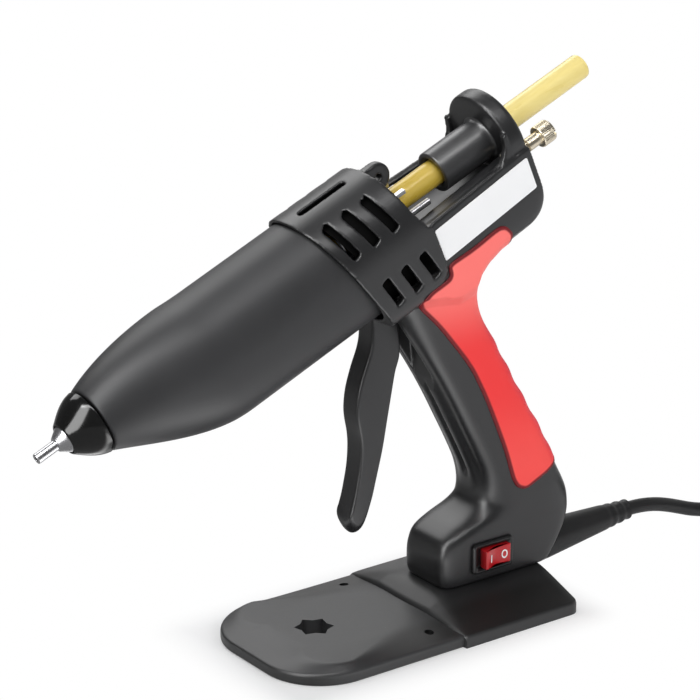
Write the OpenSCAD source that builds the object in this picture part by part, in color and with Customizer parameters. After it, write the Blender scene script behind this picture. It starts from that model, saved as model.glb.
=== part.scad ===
// Hot glue applicator: a trigger-fed gun for round glue sticks on a screw-down bench stand.
// Frame: +Z up, bench at Z = 0, nose toward -X, cord toward +X, mirror plane Y = 0.
// The origin is on the bench, midway between the two bench screw holes.
// Barrel parts use s (along the stick, + to the rear), y, and t (square to the stick, + up).

/* [Stance] */
// Height of the stick's axis over the bench screw holes
axis_h = 202; // [199:0.5:206]
// Nose-down tilt of the barrel
barrel_tilt = 23.3; // [22.5:0.1:24]

/* [Stand] */
// Reach of the tray in front of the bench screws
tray_reach = 76.5; // [70:0.5:95]
// Width of the front tray
tray_w = 87; // [82:1:89]
// Corner radius of the tray's front end
tray_corner = 30; // [22:1:36]
// Height of the stand's side wall
edge_h = 5.4; // [5:0.1:6.2]
// Rise of the tray's flat top over its side wall
tray_crown = 3.3; // [2.5:0.1:4]
// Run of the slope between the tray's side wall and its flat top
tray_slope = 10.5; // [8:0.5:12]
// Place of the saddle's front edge behind the bench screws
joint_x = 9.5; // [9:0.5:12]
// Reach of the saddle behind the bench screws
saddle_reach = 80; // [77:0.5:84]
// Width of the rear saddle
saddle_w = 91; // [90:1:102]
// Height of the saddle's top, where the foot stands
saddle_h = 15; // [14:0.5:17]
// Wall of the stand's mouldings
stand_wall = 3; // [2.5:0.1:3.4]
// Distance of a bench screw hole from the tray's side
bench_inset = 10.5; // [10.5:0.5:14]
// Radius of a bench screw hole
bench_hole_r = 2.25; // [1.6:0.05:3]
// Distance of the six-point hole in front of the bench screws
star_x = 43; // [36:0.5:50]
// Radius over the points of the six-point hole
star_r = 10.8; // [9:0.2:12]
// Radius over the notches of the six-point hole
star_notch_r = 8.2; // [6:0.2:8.6]

/* [Barrel] */
// Radius of the nose cone at the nose cap
nose_r = 15.4; // [14.6:0.2:17]
// Distance of the nose cone's front end from the stick's middle
nose_s = 169; // [166:1:175]
// Length over which the nose cone swells
swell_len = 54; // [48:1:60]
// Half width of the barrel section behind the swell
barrel_half_w = 25.5; // [24.5:0.1:26]
// Half height of the barrel section behind the swell
barrel_half_h = 30.5; // [29.5:0.1:31.5]
// Drop of the barrel section's middle below the stick
barrel_drop = 7.9; // [7.4:0.1:8.4]
// Wall of the nose cone
cone_wall = 2.4; // [2:0.1:2.8]
// Length of the nose cap
cap_len = 15; // [13:0.5:17]
// Radius of the nose cap's mouth
cap_mouth_r = 7.6; // [7.2:0.1:8.4]
// Length of the nozzle in front of the nose cap
tip_len = 15; // [10:0.5:20]
// Radius of the nozzle tube
tip_r = 2.4; // [2:0.1:3]
// Radius of the nozzle's bore
tip_bore_r = 1.1; // [0.8:0.1:1.4]

/* [Casing] */
// Wall of the ventilated collar
collar_wall = 2.4; // [2:0.1:3]
// Front of the collar, at its top
collar_front = 52; // [50.5:0.5:54]
// Slant of the collar's front edge and vents
collar_slant = 17; // [15:0.5:19]
// Width of a vent slot
vent_w = 4; // [3:0.25:5]
// Pitch of the vent slots
vent_pitch = 10.5; // [9:0.1:11]
// Half width of the body behind the collar
body_half_w = 26.5; // [25.8:0.1:27.5]
// Half width of the body at the rear flange
tail_half_w = 22; // [21.5:0.1:23]
// Radius of the rear flange
flange_r = 21.2; // [20.5:0.1:22.5]
// Front face of the rear flange
flange_s = 56; // [54:0.5:60]
// Thickness of the rear flange
flange_t = 9.5; // [8:0.5:11]
// Wall of the casing halves
shell_wall = 2.6; // [2.2:0.1:3]
// Thickness of the soft grip
grip_t = 2.4; // [2:0.1:2.8]
// Radius of the hanging eyelet
eyelet_r = 6.6; // [6:0.1:7]
// Radius of the eyelet's hole
eyelet_hole_r = 1.6; // [1.4:0.1:2.5]

/* [Stick and feed] */
// Diameter of the glue stick
stick_d = 12; // [11:0.1:12.4]
// Length of stick behind the rear flange
stick_tail = 56; // [30:1:120]
// Radius of the rear stick guide
guide_r = 10; // [9:0.1:11]
// Length of the rear stick guide in front of the flange
guide_len = 28; // [22:0.5:32]
// Radius of a guide rod
rod_r = 1.6; // [1.4:0.1:1.9]
// Distance of each guide rod from the mirror plane
rod_y = 12.5; // [12:0.1:13]
// Angle that the trigger turns through
trigger_turn = 24; // [18:1:24]
// Width of the trigger
trigger_w = 12; // [10:0.5:12.5]
// Radius of the trigger's pivot pin
pivot_r = 2.5; // [2:0.1:3]
// Wire diameter of the return spring
spring_wire = 1.4; // [1:0.1:1.6]
// Turns of the return spring
spring_turns = 5; // [3:1:6]
// Radius of the adjuster screw
adjuster_r = 2.5; // [2:0.1:2.8]
// Radius of the adjuster screw's head
adjuster_head_r = 5.4; // [4.5:0.1:6]

/* [Switch, label and lead] */
// Length of the switch housing's flange
switch_len = 24; // [22:0.5:26]
// Height of the switch housing's flange
switch_h = 15; // [14:0.5:16]
// Lean of the rocker in each of its two positions
rocker_lean = 8; // [5:0.5:9]
// Length of the label plate
label_len = 55; // [40:1:57]
// Height of the label plate
label_h = 17; // [12:0.5:18]
// Radius of the strain relief at its root
boot_r = 7.4; // [6.8:0.1:8]
// Length of the strain relief outside the casing
boot_len = 54; // [53:0.5:56]
// Diameter of the mains lead
cord_d = 7; // [6.6:0.1:7.1]
// Turns of the coil in each of its two layers
coil_turns = 3; // [2:1:3]

/* [Hidden] */
$fn = 48;

// Clearances: seat between fixed pieces, run for a shaft in its hole, slack between moving pieces
seat = 0.1;
run = 0.05;
slack = 0.4;
// Overshoot of cuts, and a length beyond the whole object
cut = 1;
far = 300;

// Colours as photographed
black = [0.13, 0.13, 0.14];
charcoal = [0.19, 0.19, 0.2];
red = [0.93, 0.2, 0.22];
steel = [0.75, 0.75, 0.77];
brass = [0.8, 0.66, 0.36];
amber = [0.93, 0.82, 0.36];

// Surfaces through rings of points, each ring running anticlockwise about the way of travel
function ring_faces(n, i) = [
    for (j = [0:n - 1])
        let (a = i * n + j, b = i * n + (j + 1) % n)
            each [[a, a + n, b + n], [a, b + n, b]]
];
function skin_faces(n, m) = concat(
    [for (j = [1:n - 2]) [0, j, j + 1]],
    [for (i = [0:m - 2]) each ring_faces(n, i)],
    [for (j = [1:n - 2]) [(m - 1) * n, (m - 1) * n + j + 1, (m - 1) * n + j]]
);
module skin(rings) {
    polyhedron([for (r = rings) each r], skin_faces(len(rings[0]), len(rings)));
}

// Section of half sizes 1 and 1: a squareness of 2 is an ellipse, more is squarer
function signed_power(v, e) = sign(v) * pow(abs(v), e);
function section(n, squareness) = [
    for (k = [0:n - 1])
        [signed_power(cos(360 * k / n), 2 / squareness), signed_power(sin(360 * k / n), 2 / squareness)]
];

// Round tube along a route that is nowhere vertical
function unit(v) = v / norm(v);
function heading(p, i) = unit(p[min(i + 1, len(p) - 1)] - p[max(i - 1, 0)]);
function tube_ring(c, dir, r, n) =
    let (side = unit(cross(dir, [0, 0, 1])), up = cross(side, dir))
        [for (k = [0:n - 1]) c + r * (cos(360 * (k + 0.5) / n) * side + sin(360 * (k + 0.5) / n) * up)];
module tube(p, r, n) {
    skin([for (i = [0:len(p) - 1]) tube_ring(p[i], heading(p, i), r, n)]);
}

// Placing: the barrel's own frame, cylinders along s and y, plates square to y and s
module barrel() {
    translate([0, 0, axis_h]) rotate([0, -barrel_tilt, 0]) children();
}
function from_barrel(s, t) = [
    s * cos(barrel_tilt) - t * sin(barrel_tilt),
    axis_h + s * sin(barrel_tilt) + t * cos(barrel_tilt)
];
module rod_s(s0, s1, r, y = 0, t = 0) {
    translate([s0, y, t]) rotate([0, 90, 0]) cylinder(h = s1 - s0, r = r);
}
module rod_across(y0, y1, r, x, z) {
    translate([x, y1, z]) rotate([90, 0, 0]) cylinder(h = y1 - y0, r = r);
}
module plate_y(half) {
    rotate([90, 0, 0]) linear_extrude(2 * half, center = true) children();
}
module prism_s(s0, s1) {
    translate([s0, 0, 0]) rotate([90, 0, 90]) linear_extrude(s1 - s0) children();
}
function span(mid, half) = [mid - half, mid + half];
module box(x, y, z) {
    translate([x[0], y[0], z[0]]) cube([x[1] - x[0], y[1] - y[0], z[1] - z[0]]);
}
module both_sides() {
    children();
    mirror([0, 1, 0]) children();
}

// Stand
tray_top = edge_h + tray_crown;
tray_end = joint_x + 4.5;
tongue_len = 16;
tongue_h = 2.4;
tongue_w = tray_w - 18;
tongue_screw_x = tray_end + 9;
tongue_screw_y = 22;
screw_r = 1.5;
screw_head_r = 2.8;
screw_head_h = 1.6;
boss_r = 3.8;
saddle_corner = 6;
lip_h = 0.8;
lip_r = 3;
pad_front = 17.5;
pad_rear = saddle_reach + 2;
pad_half_w = 17.5;
pad_corner = 5;
foot_screw_x = [28, saddle_reach - 8];
foot_screw_y = 8;
foot_boss_h = 9;
tongue_boss_top = saddle_h - stand_wall - 0.6;

module tray_block(inset, drop) {
    hull() {
        for (side = [-1, 1])
            translate([tray_corner - tray_reach, side * (tray_w / 2 - tray_corner), 0]) {
                cylinder(h = edge_h - drop, r = tray_corner - inset, $fn = 32);
                cylinder(h = tray_top - drop, r = tray_corner - inset - tray_slope, $fn = 32);
            }
        box([0, tray_end - inset], [inset - tray_w / 2, tray_w / 2 - inset], [0, edge_h - drop]);
        box([0, tray_end - inset], (tray_w / 2 - inset - tray_slope) * [-1, 1], [0, tray_top - drop]);
    }
}
module star_hole() {
    polygon([
        for (k = [0:5], tip = [1, 0])
            (tip ? star_r : star_notch_r) * [cos(60 * k + 30 * (2 - tip)), sin(60 * k + 30 * (2 - tip))]
    ]);
}
module at_bench_holes() {
    for (side = [-1, 1]) translate([0, side * (tray_w / 2 - bench_inset), 0]) children();
}
module at_tongue_screws() {
    for (side = [-1, 1]) translate([tongue_screw_x, side * tongue_screw_y, 0]) children();
}
module at_foot_screws() {
    for (side = [-1, 1], x = foot_screw_x) translate([x, side * foot_screw_y, 0]) children();
}
module base_tray() {
    color(charcoal) difference() {
        union() {
            difference() {
                tray_block(0, 0);
                translate([0, 0, -cut]) tray_block(stand_wall, stand_wall - cut);
            }
            at_bench_holes() cylinder(h = edge_h, r = 2 * boss_r);
            translate([-star_x, 0, 0]) cylinder(h = tray_top - cut, r = star_r + stand_wall);
            box([tray_end - stand_wall, tray_end + tongue_len], tongue_w / 2 * [-1, 1], [0, tongue_h]);
        }
        at_bench_holes() translate([0, 0, -cut]) cylinder(h = tray_top + 2 * cut, r = bench_hole_r);
        translate([-star_x, 0, -cut]) linear_extrude(tray_top + 2 * cut) star_hole();
        at_tongue_screws() translate([0, 0, -cut]) {
            cylinder(h = tongue_h + 2 * cut, r = screw_r + slack);
            cylinder(h = cut + screw_head_h, r = screw_head_r + slack);
        }
    }
}
module saddle_block(inset, drop) {
    hull() {
        for (side = [-1, 1], x = [joint_x, saddle_reach - 2 * saddle_corner])
            translate([x + saddle_corner, side * (saddle_w / 2 - saddle_corner), 0])
                cylinder(h = edge_h - drop, r = saddle_corner - inset, $fn = 32);
        for (side = [-1, 1])
            translate([joint_x + lip_r, side * (tray_w / 2 - tray_slope - lip_r), 0])
                cylinder(h = tray_top + lip_h - drop, r = lip_r - inset / stand_wall, $fn = 32);
        for (side = [-1, 1], x = [pad_front, pad_rear - 2 * pad_corner])
            translate([x + pad_corner, side * (pad_half_w - pad_corner), 0])
                cylinder(h = saddle_h - drop, r = pad_corner - inset, $fn = 32);
    }
}
module base_saddle() {
    color(black) difference() {
        union() {
            difference() {
                saddle_block(0, 0);
                translate([0, 0, -cut]) saddle_block(stand_wall, stand_wall - cut);
            }
            at_foot_screws() translate([0, 0, saddle_h - foot_boss_h]) cylinder(h = foot_boss_h, r = boss_r);
            at_tongue_screws() translate([0, 0, tongue_h + seat])
                cylinder(h = tongue_boss_top - tongue_h - seat, r = boss_r);
        }
        translate([0, 0, -cut]) tray_block(-seat, -seat - cut);
        box([0, tray_end + tongue_len + slack], (tongue_w / 2 + slack) * [-1, 1], [-cut, tongue_h + seat]);
        at_foot_screws() translate([0, 0, -cut]) cylinder(h = saddle_h + 2 * cut, r = screw_r + run);
        at_tongue_screws() translate([0, 0, -cut]) cylinder(h = tongue_h + edge_h, r = screw_r + run);
    }
}
module screw_up(length) {
    cylinder(h = screw_head_h, r = screw_head_r);
    cylinder(h = length, r = screw_r);
}
module saddle_screws() {
    color(steel) at_tongue_screws() screw_up(tongue_h + edge_h - 2 * cut);
}
module foot_screws() {
    color(steel) at_foot_screws()
        translate([0, 0, saddle_h - foot_boss_h - screw_head_h]) screw_up(foot_boss_h + screw_head_h + 7);
}

// Barrel section behind the swell, grown by a margin
barrel_square = 2.3;
barrel_sides = 40;
module barrel_section(margin) {
    polygon([
        for (c = section(barrel_sides, barrel_square))
            [c.x * (barrel_half_w + margin), c.y * (barrel_half_h + margin) - barrel_drop]
    ]);
}
// Section of the collar: as the barrel's above its middle, squarer below
collar_square = 5;
module collar_section(margin) {
    upper = section(barrel_sides, barrel_square);
    lower = section(barrel_sides, collar_square);
    polygon([
        for (k = [0:barrel_sides - 1])
            let (c = k < barrel_sides / 2 ? upper[k] : lower[k])
                [c.x * (barrel_half_w + margin), c.y * (barrel_half_h + margin) - barrel_drop]
    ]);
}
collar_top = barrel_half_h + slack + collar_wall - barrel_drop;
// Everything in front of a plane along the collar's slanted edge, moved back along s
module before_slant(back) {
    translate([back - collar_front, 0, collar_top]) rotate([0, -collar_slant, 0])
        translate([-far, -far / 2, -far / 2]) cube(far);
}

// Handle outline: height over the saddle, front, rear, half width, squareness
handle_stations = [
    [0, 20, 88, 16, 5], [3, 18.6, 90.5, 16.4, 5], [9, 18, 94.5, 16.6, 5], [17, 18.2, 97.3, 16.8, 5],
    [23, 20.2, 98.6, 17, 4.6], [27, 26, 98.8, 17, 4.2], [31, 36, 98.6, 17, 3.8], [35, 43, 97.6, 17, 3.4],
    [39, 46, 96, 17, 3.2], [44, 47, 93.8, 16.8, 3], [51, 45.4, 91, 16.6, 2.9], [62, 40.6, 86.5, 16.5, 2.8],
    [76, 33.6, 79, 16.4, 2.8], [90, 26.2, 70.6, 16.4, 2.8], [104, 17.8, 62.2, 16.6, 2.8],
    [118, 8.6, 53.6, 17, 2.8], [128, 1.6, 47.2, 17.4, 2.8], [136, -3.6, 43.6, 18, 2.8],
    [142, -7, 43.2, 18.6, 2.8], [148, -9, 45.2, 19.4, 3], [153, -9, 48.4, 20, 3]
];
handle_sides = 24;
neck_drop = 34;
handle_top = handle_stations[len(handle_stations) - 1][0];
handle_stretch = (axis_h - neck_drop - saddle_h) / handle_top;
function on_handle(height) = saddle_h + height * handle_stretch;
function handle_ring(st, inset) =
    let (mid = (st[1] + st[2]) / 2, half = (st[2] - st[1]) / 2 - inset)
        [for (c = section(handle_sides, st[4])) [mid + half * c.x, (st[3] - inset) * c.y, on_handle(st[0])]];
module handle_form(inset) {
    skin([for (st = handle_stations) handle_ring(st, inset)]);
}

// Body behind the collar: side, plan and end outlines
flange_rear = flange_s + flange_t;
rim_t = -5;
horn_r = 12;
horn_drop = 32;
function horn_side(inset) = concat(
    [[-25, rim_t], [flange_rear - inset, rim_t]],
    [for (a = [0:-15:-90]) [flange_rear - horn_r, -horn_drop] + (horn_r - inset) * [cos(a), sin(a)]],
    [for (p = [[36, -44.6], [27, -47.6], [20.5, -52], [17, -57], [5, -57]]) p + [0, inset]],
    [[-15, -44], [-25, -38]]
);
function body_plan(inset) = [
    [-25, body_half_w - inset], [0, body_half_w - inset], [flange_rear, tail_half_w - inset],
    [flange_rear, inset - tail_half_w], [0, inset - body_half_w], [-25, inset - body_half_w]
];
function body_end(inset) = [
    [body_half_w, 0], [body_half_w, -horn_drop - 2], [20 - inset, -52], [17 - inset, -60],
    [inset - 17, -60], [inset - 20, -52], [-body_half_w, -horn_drop - 2], [-body_half_w, 0]
];
module horn_form(inset) {
    intersection() {
        plate_y(body_half_w) polygon(horn_side(inset));
        translate([0, 0, -far / 2]) linear_extrude(far) polygon(body_plan(inset));
        prism_s(-25, flange_rear) polygon(body_end(inset));
    }
}

// Soft grip's outline in side view: places along X and heights over the saddle
grip_outline = [
    [3.2, 147.5], [5, 143.5], [17, 131], [34.4, 109.7], [43.5, 93], [49.6, 79.5], [56, 64], [59, 55],
    [61.6, 47], [64.2, 43], [69, 41], [77, 44.6], [100, 53], [115, 53], [115, 120], [80, 150],
    [66, 161], [56, 171], [52, 174], [48, 174], [18.2, 158], [17, 154], [7.6, 151.2]
];
module grip_zone() {
    plate_y(far / 4) polygon([for (p = grip_outline) [p.x, on_handle(p.y)]]);
}

// Trigger's pivot, drive pin and travel, in the barrel's frame
pivot_s = -21;
pivot_t = -33;
pivot_at = from_barrel(pivot_s, pivot_t);
drive_t = -14;
drive_r = 2;
arm_len = drive_t - pivot_t;
half_turn = trigger_turn / 2;
feed_travel = 2 * arm_len * tan(half_turn);
drive_s = pivot_s + feed_travel / 2;
trigger_gap = 7.2;
pivot_boss_r = 6;
trigger_zone = [
    [-9.5, 8], [9.5, 8], [15, -6], [24, -22], [27.2, -46], [16, -64], [-40, -64], [-40, -30], [-13, -22]
];

// Places of the casing screws: along X and height over the saddle
shell_screw_at = [[28, 14], [84, 20], [51, 56], [33, 97], [51.7, 183.2]];
screw_sink = 4;
screw_tail = 9;
trough_t = -14;
trough_floor = 3;
cavity_inset = grip_t + seat + shell_wall;
rod_post_s = [8, 12];
rod_t = -2.5;
adjuster_y = -16;
adjuster_t = -7.5;
nut_r = 4;
eyelet_at = [-0.3, 16.2];
eyelet_half = 2.4;
boot_z = saddle_h + 5.5;
boot_x = 93;
boot_neck_r = 4.6;
switch_x = 49;
switch_z = saddle_h + 12.5;

module collar_solid() {
    difference() {
        prism_s(-collar_front - cut, -4) collar_section(slack + collar_wall);
        before_slant(0);
    }
}
module vent(s, t, length) {
    translate([s, 0, t]) rotate([0, -collar_slant, 0])
        box(vent_w / 2 * [-1, 1], [-far / 4, -8], [-length, 0]);
}
module vents() {
    both_sides() for (k = [0:2]) {
        vent(k * vent_pitch - 40, 20, 17);
        vent(k * vent_pitch - 29, -12.8, 15);
    }
    box([-43, -18], [-1, 1], [0, far / 4]);
}
module casing_solid() {
    barrel() {
        collar_solid();
        horn_form(0);
        rod_s(flange_s, flange_rear, flange_r);
    }
    handle_form(0);
}
module casing_core() {
    barrel() horn_form(grip_t + seat);
    handle_form(grip_t + seat);
}
module casing_bosses() {
    intersection() {
        union() {
            for (p = shell_screw_at) rod_across(-far / 4, far / 4, boss_r, p.x, on_handle(p.y));
            rod_across(-far / 4, far / 4, pivot_boss_r, pivot_at.x, pivot_at.y);
            at_foot_screws() translate([0, 0, saddle_h]) cylinder(h = foot_boss_h, r = boss_r);
            barrel() both_sides() {
                box(rod_post_s, [rod_y - 3, rod_y + 0.2], [trough_t - cut, rod_t + rod_r + cut]);
                box(rod_post_s, [rod_y - 3, rod_y + rod_r + cut], [rod_t - rod_r - 0.2, rod_t + rod_r + cut]);
            }
        }
        union() {
            handle_form(shell_wall);
            barrel() {
                prism_s(-collar_front + 10, 20) barrel_section(slack + collar_wall / 2);
                horn_form(shell_wall);
            }
        }
    }
}
module casing_cavity() {
    barrel() {
        prism_s(-collar_front - 2 * cut, -1) barrel_section(slack);
        intersection() {
            translate([0, 0, trough_t]) linear_extrude(far / 4) polygon(body_plan(shell_wall));
            prism_s(-2, flange_s) square(far / 2, center = true);
        }
        intersection() {
            translate([0, 0, 3 - horn_drop]) linear_extrude(horn_drop - 3 + trough_t - trough_floor)
                polygon(body_plan(shell_wall + 1));
            prism_s(-24, flange_s - shell_wall) square(far / 2, center = true);
        }
        prism_s(-12, rod_post_s[0] - cut) translate([-14, trough_t - 2 * trough_floor]) square([28, 20]);
        box([-8, 16], [-15, 15], [-44, -20]);
    }
    intersection() {
        handle_form(cavity_inset);
        translate([-far / 2, -far / 2, saddle_h + cavity_inset]) cube(far);
    }
}
module casing_cuts() {
    barrel() {
        vents();
        rod_s(flange_s - cut, flange_rear + cut, guide_r + seat);
        rod_s(flange_s - cut, flange_rear + cut, nut_r + seat, adjuster_y, adjuster_t);
        for (side = [-1, 1])
            rod_s(rod_post_s[0] - cut, rod_post_s[1] + cut, rod_r + seat, side * rod_y, rod_t);
    }
    translate([pivot_at.x, 0, pivot_at.y]) plate_y(trigger_gap) polygon(trigger_zone);
    rod_across(-18, 18, pivot_r + run, pivot_at.x, pivot_at.y);
    translate([boot_x - 16, 0, boot_z]) rotate([0, 90, 0]) cylinder(h = 30, r = boot_neck_r + seat);
    translate([boot_x - seat, 0, boot_z]) rotate([0, 90, 0]) cylinder(h = boot_len, r = boot_r + seat);
    at_foot_screws() translate([0, 0, saddle_h - cut]) cylinder(h = foot_boss_h, r = screw_r + run);
    for (p = shell_screw_at) {
        rod_across(-screw_tail - 1, far / 4, screw_r + run, p.x, on_handle(p.y));
        rod_across(screw_sink, far / 4, screw_head_r + seat, p.x, on_handle(p.y));
    }
    box(span(switch_x, switch_body[0] / 2 + seat), [-far / 4, -4], span(switch_z, switch_body[1] / 2 + seat));
}
module casing() {
    difference() {
        union() {
            difference() {
                union() {
                    difference() {
                        casing_solid();
                        grip_zone();
                    }
                    casing_core();
                }
                casing_cavity();
            }
            casing_bosses();
        }
        casing_cuts();
    }
}
module eyelet(grow) {
    barrel() rotate([90, 0, 0]) translate([eyelet_at.x, eyelet_at.y, -eyelet_half - grow])
        linear_extrude(2 * (eyelet_half + grow)) union() {
            circle(eyelet_r + grow);
            translate([-12 - grow, -3 - grow]) square([11 + grow, eyelet_r + 3 + 2 * grow]);
            translate([-12 - grow, 0]) square([8 + 2 * grow, collar_top - eyelet_at.y - collar_wall / 2]);
        }
}
module eyelet_hole() {
    barrel() rod_across(-far / 4, far / 4, eyelet_hole_r, eyelet_at.x, eyelet_at.y);
}
module left_shell() {
    color(black) difference() {
        casing();
        translate([-far, 0, -far / 2]) cube(2 * far);
        eyelet(seat);
    }
}
module right_shell() {
    color(black) difference() {
        union() {
            difference() {
                casing();
                translate([-far, -2 * far, -far / 2]) cube(2 * far);
            }
            eyelet(0);
        }
        eyelet_hole();
    }
}
module shell_screws() {
    color(steel) for (p = shell_screw_at) {
        rod_across(-screw_tail, screw_sink + seat, screw_r, p.x, on_handle(p.y));
        rod_across(screw_sink + seat, screw_sink + seat + screw_head_h, screw_head_r, p.x, on_handle(p.y));
    }
}
module soft_grip() {
    color(red) intersection() {
        difference() {
            union() {
                handle_form(0);
                barrel() horn_form(0);
            }
            handle_form(grip_t);
            barrel() {
                horn_form(grip_t);
                prism_s(-far / 4, -4) collar_section(slack + collar_wall + seat);
            }
        }
        grip_zone();
    }
}

// Label plate, flat on the side of the body, which narrows to the rear
label_s = 4;
label_top_t = -7.5;
label_thick = 0.6;
side_angle = atan((body_half_w - tail_half_w) / flange_rear);
module label_plate() {
    color("white") barrel()
        translate([0, -body_half_w, label_top_t - label_h]) rotate([0, 0, side_angle])
            translate([label_s, -label_thick, 0]) cube([label_len, label_thick, label_h]);
}

// Nose cone: the section grows from a circle at the cap to the barrel section
cone_rings = 12;
cone_lap = 5;
function swell(s) = min(1, max(0, (s + nose_s) / swell_len));
function grown(s) = 1 - pow(1 - swell(s), 1.7);
function cone_ring(s, inset) =
    let (
        half_w = nose_r + (barrel_half_w - nose_r) * grown(s) - inset,
        half_h = nose_r + (barrel_half_h - nose_r) * grown(s) - inset,
        drop = barrel_drop * pow(swell(s), 1.15),
        square = 2 + (barrel_square - 2) * swell(s)
    )
        [for (c = section(barrel_sides, square)) [s, c.x * half_w, c.y * half_h - drop]];
module cone_form(inset, reach) {
    skin(concat(
        [for (k = [0:cone_rings]) cone_ring(k * swell_len / cone_rings - nose_s - reach, inset)],
        [cone_ring(-collar_front / 3, inset)]
    ));
}
module nose_cone() {
    color(black) barrel() intersection() {
        difference() {
            cone_form(0, 0);
            cone_form(cone_wall, cut);
            rod_s(-nose_s - cut, -nose_s + cone_wall, nose_r - cone_wall);
            box([-44, 0], (trigger_gap + 1) * [-1, 1], [-far / 4, -26]);
        }
        before_slant(cone_lap);
    }
}

// Nose cap and nozzle, turned about the stick's axis
cap_wall = 2.4;
cap_steps = 8;
cap_front = nose_s + cap_len;
nozzle_r = cap_mouth_r - 1;
nozzle_rear = 160;
nozzle_thread_r = 5;
function cap_r(f) = cap_mouth_r + (nose_r - cap_mouth_r) * sin(90 * f);
module turned_s() {
    rotate([0, 90, 0]) rotate_extrude() children();
}
module nose_cap() {
    color(black) barrel() turned_s() difference() {
        union() {
            polygon(concat(
                [[0, -nose_s], [0, -cap_front]],
                [for (k = [0:cap_steps]) [cap_r(k / cap_steps), k * cap_len / cap_steps - cap_front]]
            ));
            translate([0, -nose_s]) square([nose_r - cone_wall - seat, 4]);
        }
        polygon(concat(
            [[0, 5 - nose_s], [0, -cap_front - cut], [nozzle_r + seat, -cap_front - cut]],
            [for (k = [1:cap_steps]) [
                max(nozzle_r + seat, cap_r(k / cap_steps) - cap_wall - cone_wall),
                k * cap_len / cap_steps - cap_front
            ]],
            [[nose_r - cap_wall - cone_wall, 5 - nose_s]]
        ));
    }
}
module nozzle() {
    color(steel) barrel() turned_s() polygon([
        [tip_bore_r, -cap_front - tip_len], [tip_r - 0.3, -cap_front - tip_len],
        [tip_r, 1 - cap_front - tip_len],
        [tip_r, -cap_front - 4.6], [tip_r + 0.8, -cap_front - 4.4], [nozzle_r, -cap_front],
        [nozzle_r, -nose_s - 2], [nozzle_thread_r, -nose_s - 1.7], [nozzle_thread_r, -nozzle_rear],
        [tip_bore_r, -nozzle_rear]
    ]);
}

// Melt chamber with its heaters and thermostat
chamber_front = -nose_s - 1.5;
chamber_rear = -49;
chamber_r = 12.5;
stick_r = stick_d / 2;
chamber_bore_r = stick_r + slack;
heater_r = 4;
heater_y = 6;
heater_t = -17;
heater_s = [-138, -62];
block_half_w = 11;
block_low = -23;
melt_end = -118;
pad_t = 13;
pad_s = [-102, -84];
module melt_chamber() {
    color(steel) barrel() difference() {
        union() {
            rod_s(-nose_s + 6, chamber_rear, chamber_r);
            rod_s(chamber_front, -nose_s + 7, nozzle_r + 2);
            box(heater_s, block_half_w * [-1, 1], [block_low, 0]);
            box(pad_s, 8 * [-1, 1], [0, pad_t]);
        }
        rod_s(melt_end, chamber_rear + cut, chamber_bore_r);
        rod_s(-nozzle_rear - cut, melt_end + cut, 2);
        rod_s(chamber_front - cut, -nozzle_rear, nozzle_thread_r + run);
        for (side = [-1, 1])
            rod_s(heater_s[0] - cut, heater_s[1] + cut, heater_r + seat, side * heater_y, heater_t);
    }
}
module heater_cartridges() {
    color(steel) barrel() for (side = [-1, 1])
        rod_s(heater_s[0] + 2, heater_s[1] + 3, heater_r, side * heater_y, heater_t);
}
module thermostat() {
    color("wheat") barrel() translate([(pad_s[0] + pad_s[1]) / 2, 0, pad_t]) {
        cylinder(h = 4, r = 6.5);
        box([-8, 8], [-1.6, 1.6], [0, 1]);
    }
}

// Bracket that carries the chamber, the sleeve that the stick enters, and the guide rods
bracket_s = [-52, -46];
rod_front = chamber_rear + slack;
sleeve_r = 7.6;
sleeve_rear = -40;
loom_y = 16;
loom_t = -17;
loom_r = 1.8;
module chamber_bracket() {
    color("dimgray") barrel() difference() {
        prism_s(bracket_s[0], bracket_s[1]) barrel_section(-cone_wall - seat);
        rod_s(bracket_s[0] - cut, chamber_rear, chamber_r + seat);
        rod_s(bracket_s[0] - cut, bracket_s[1] + cut, sleeve_r + seat);
        for (side = [-1, 1]) rod_s(rod_front - seat, bracket_s[1] + cut, rod_r + run, side * rod_y, rod_t);
        rod_s(bracket_s[0] - cut, bracket_s[1] + cut, loom_r + seat, loom_y, loom_t);
        box([-44, 0], (trigger_gap + 1) * [-1, 1], [-far / 4, -26]);
    }
}
module inlet_sleeve() {
    color("sienna") barrel() difference() {
        rod_s(chamber_rear, sleeve_rear, sleeve_r);
        rod_s(chamber_rear - cut, sleeve_rear + cut, stick_r + slack);
    }
}
module guide_rods() {
    color(steel) barrel() for (side = [-1, 1])
        rod_s(rod_front, rod_post_s[1] + 1.5, rod_r, side * rod_y, rod_t);
}

// Feed: carriage on the rods, clamp, drive pin, stick and return spring
carriage_s = [-27, -5];
carriage_ring_r = 9.5;
carriage_half_w = rod_y + rod_r + 1.6;
lug_y = [5.2, 8.2];
clamp_t = 1.6;
clamp_r = 9.7;
prong_end = 7;
stick_front = -100;
stick_end = flange_rear + stick_tail;
module feed_carriage() {
    color("dimgray") barrel() difference() {
        union() {
            rod_s(carriage_s[0], carriage_s[1], carriage_ring_r);
            box(carriage_s, carriage_half_w * [-1, 1], [rod_t - 3.5, rod_t + 3.5]);
            both_sides() box(span(drive_s, 5), lug_y, [drive_t - 3.4, -4]);
        }
        rod_s(carriage_s[0] - cut, carriage_s[1] + cut, stick_r + slack / 2);
        for (side = [-1, 1])
            rod_s(carriage_s[0] - cut, carriage_s[1] + cut, rod_r + run, side * rod_y, rod_t);
        rod_across(-lug_y[1] - cut, lug_y[1] + cut, drive_r + run, drive_s, drive_t);
    }
}
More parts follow.
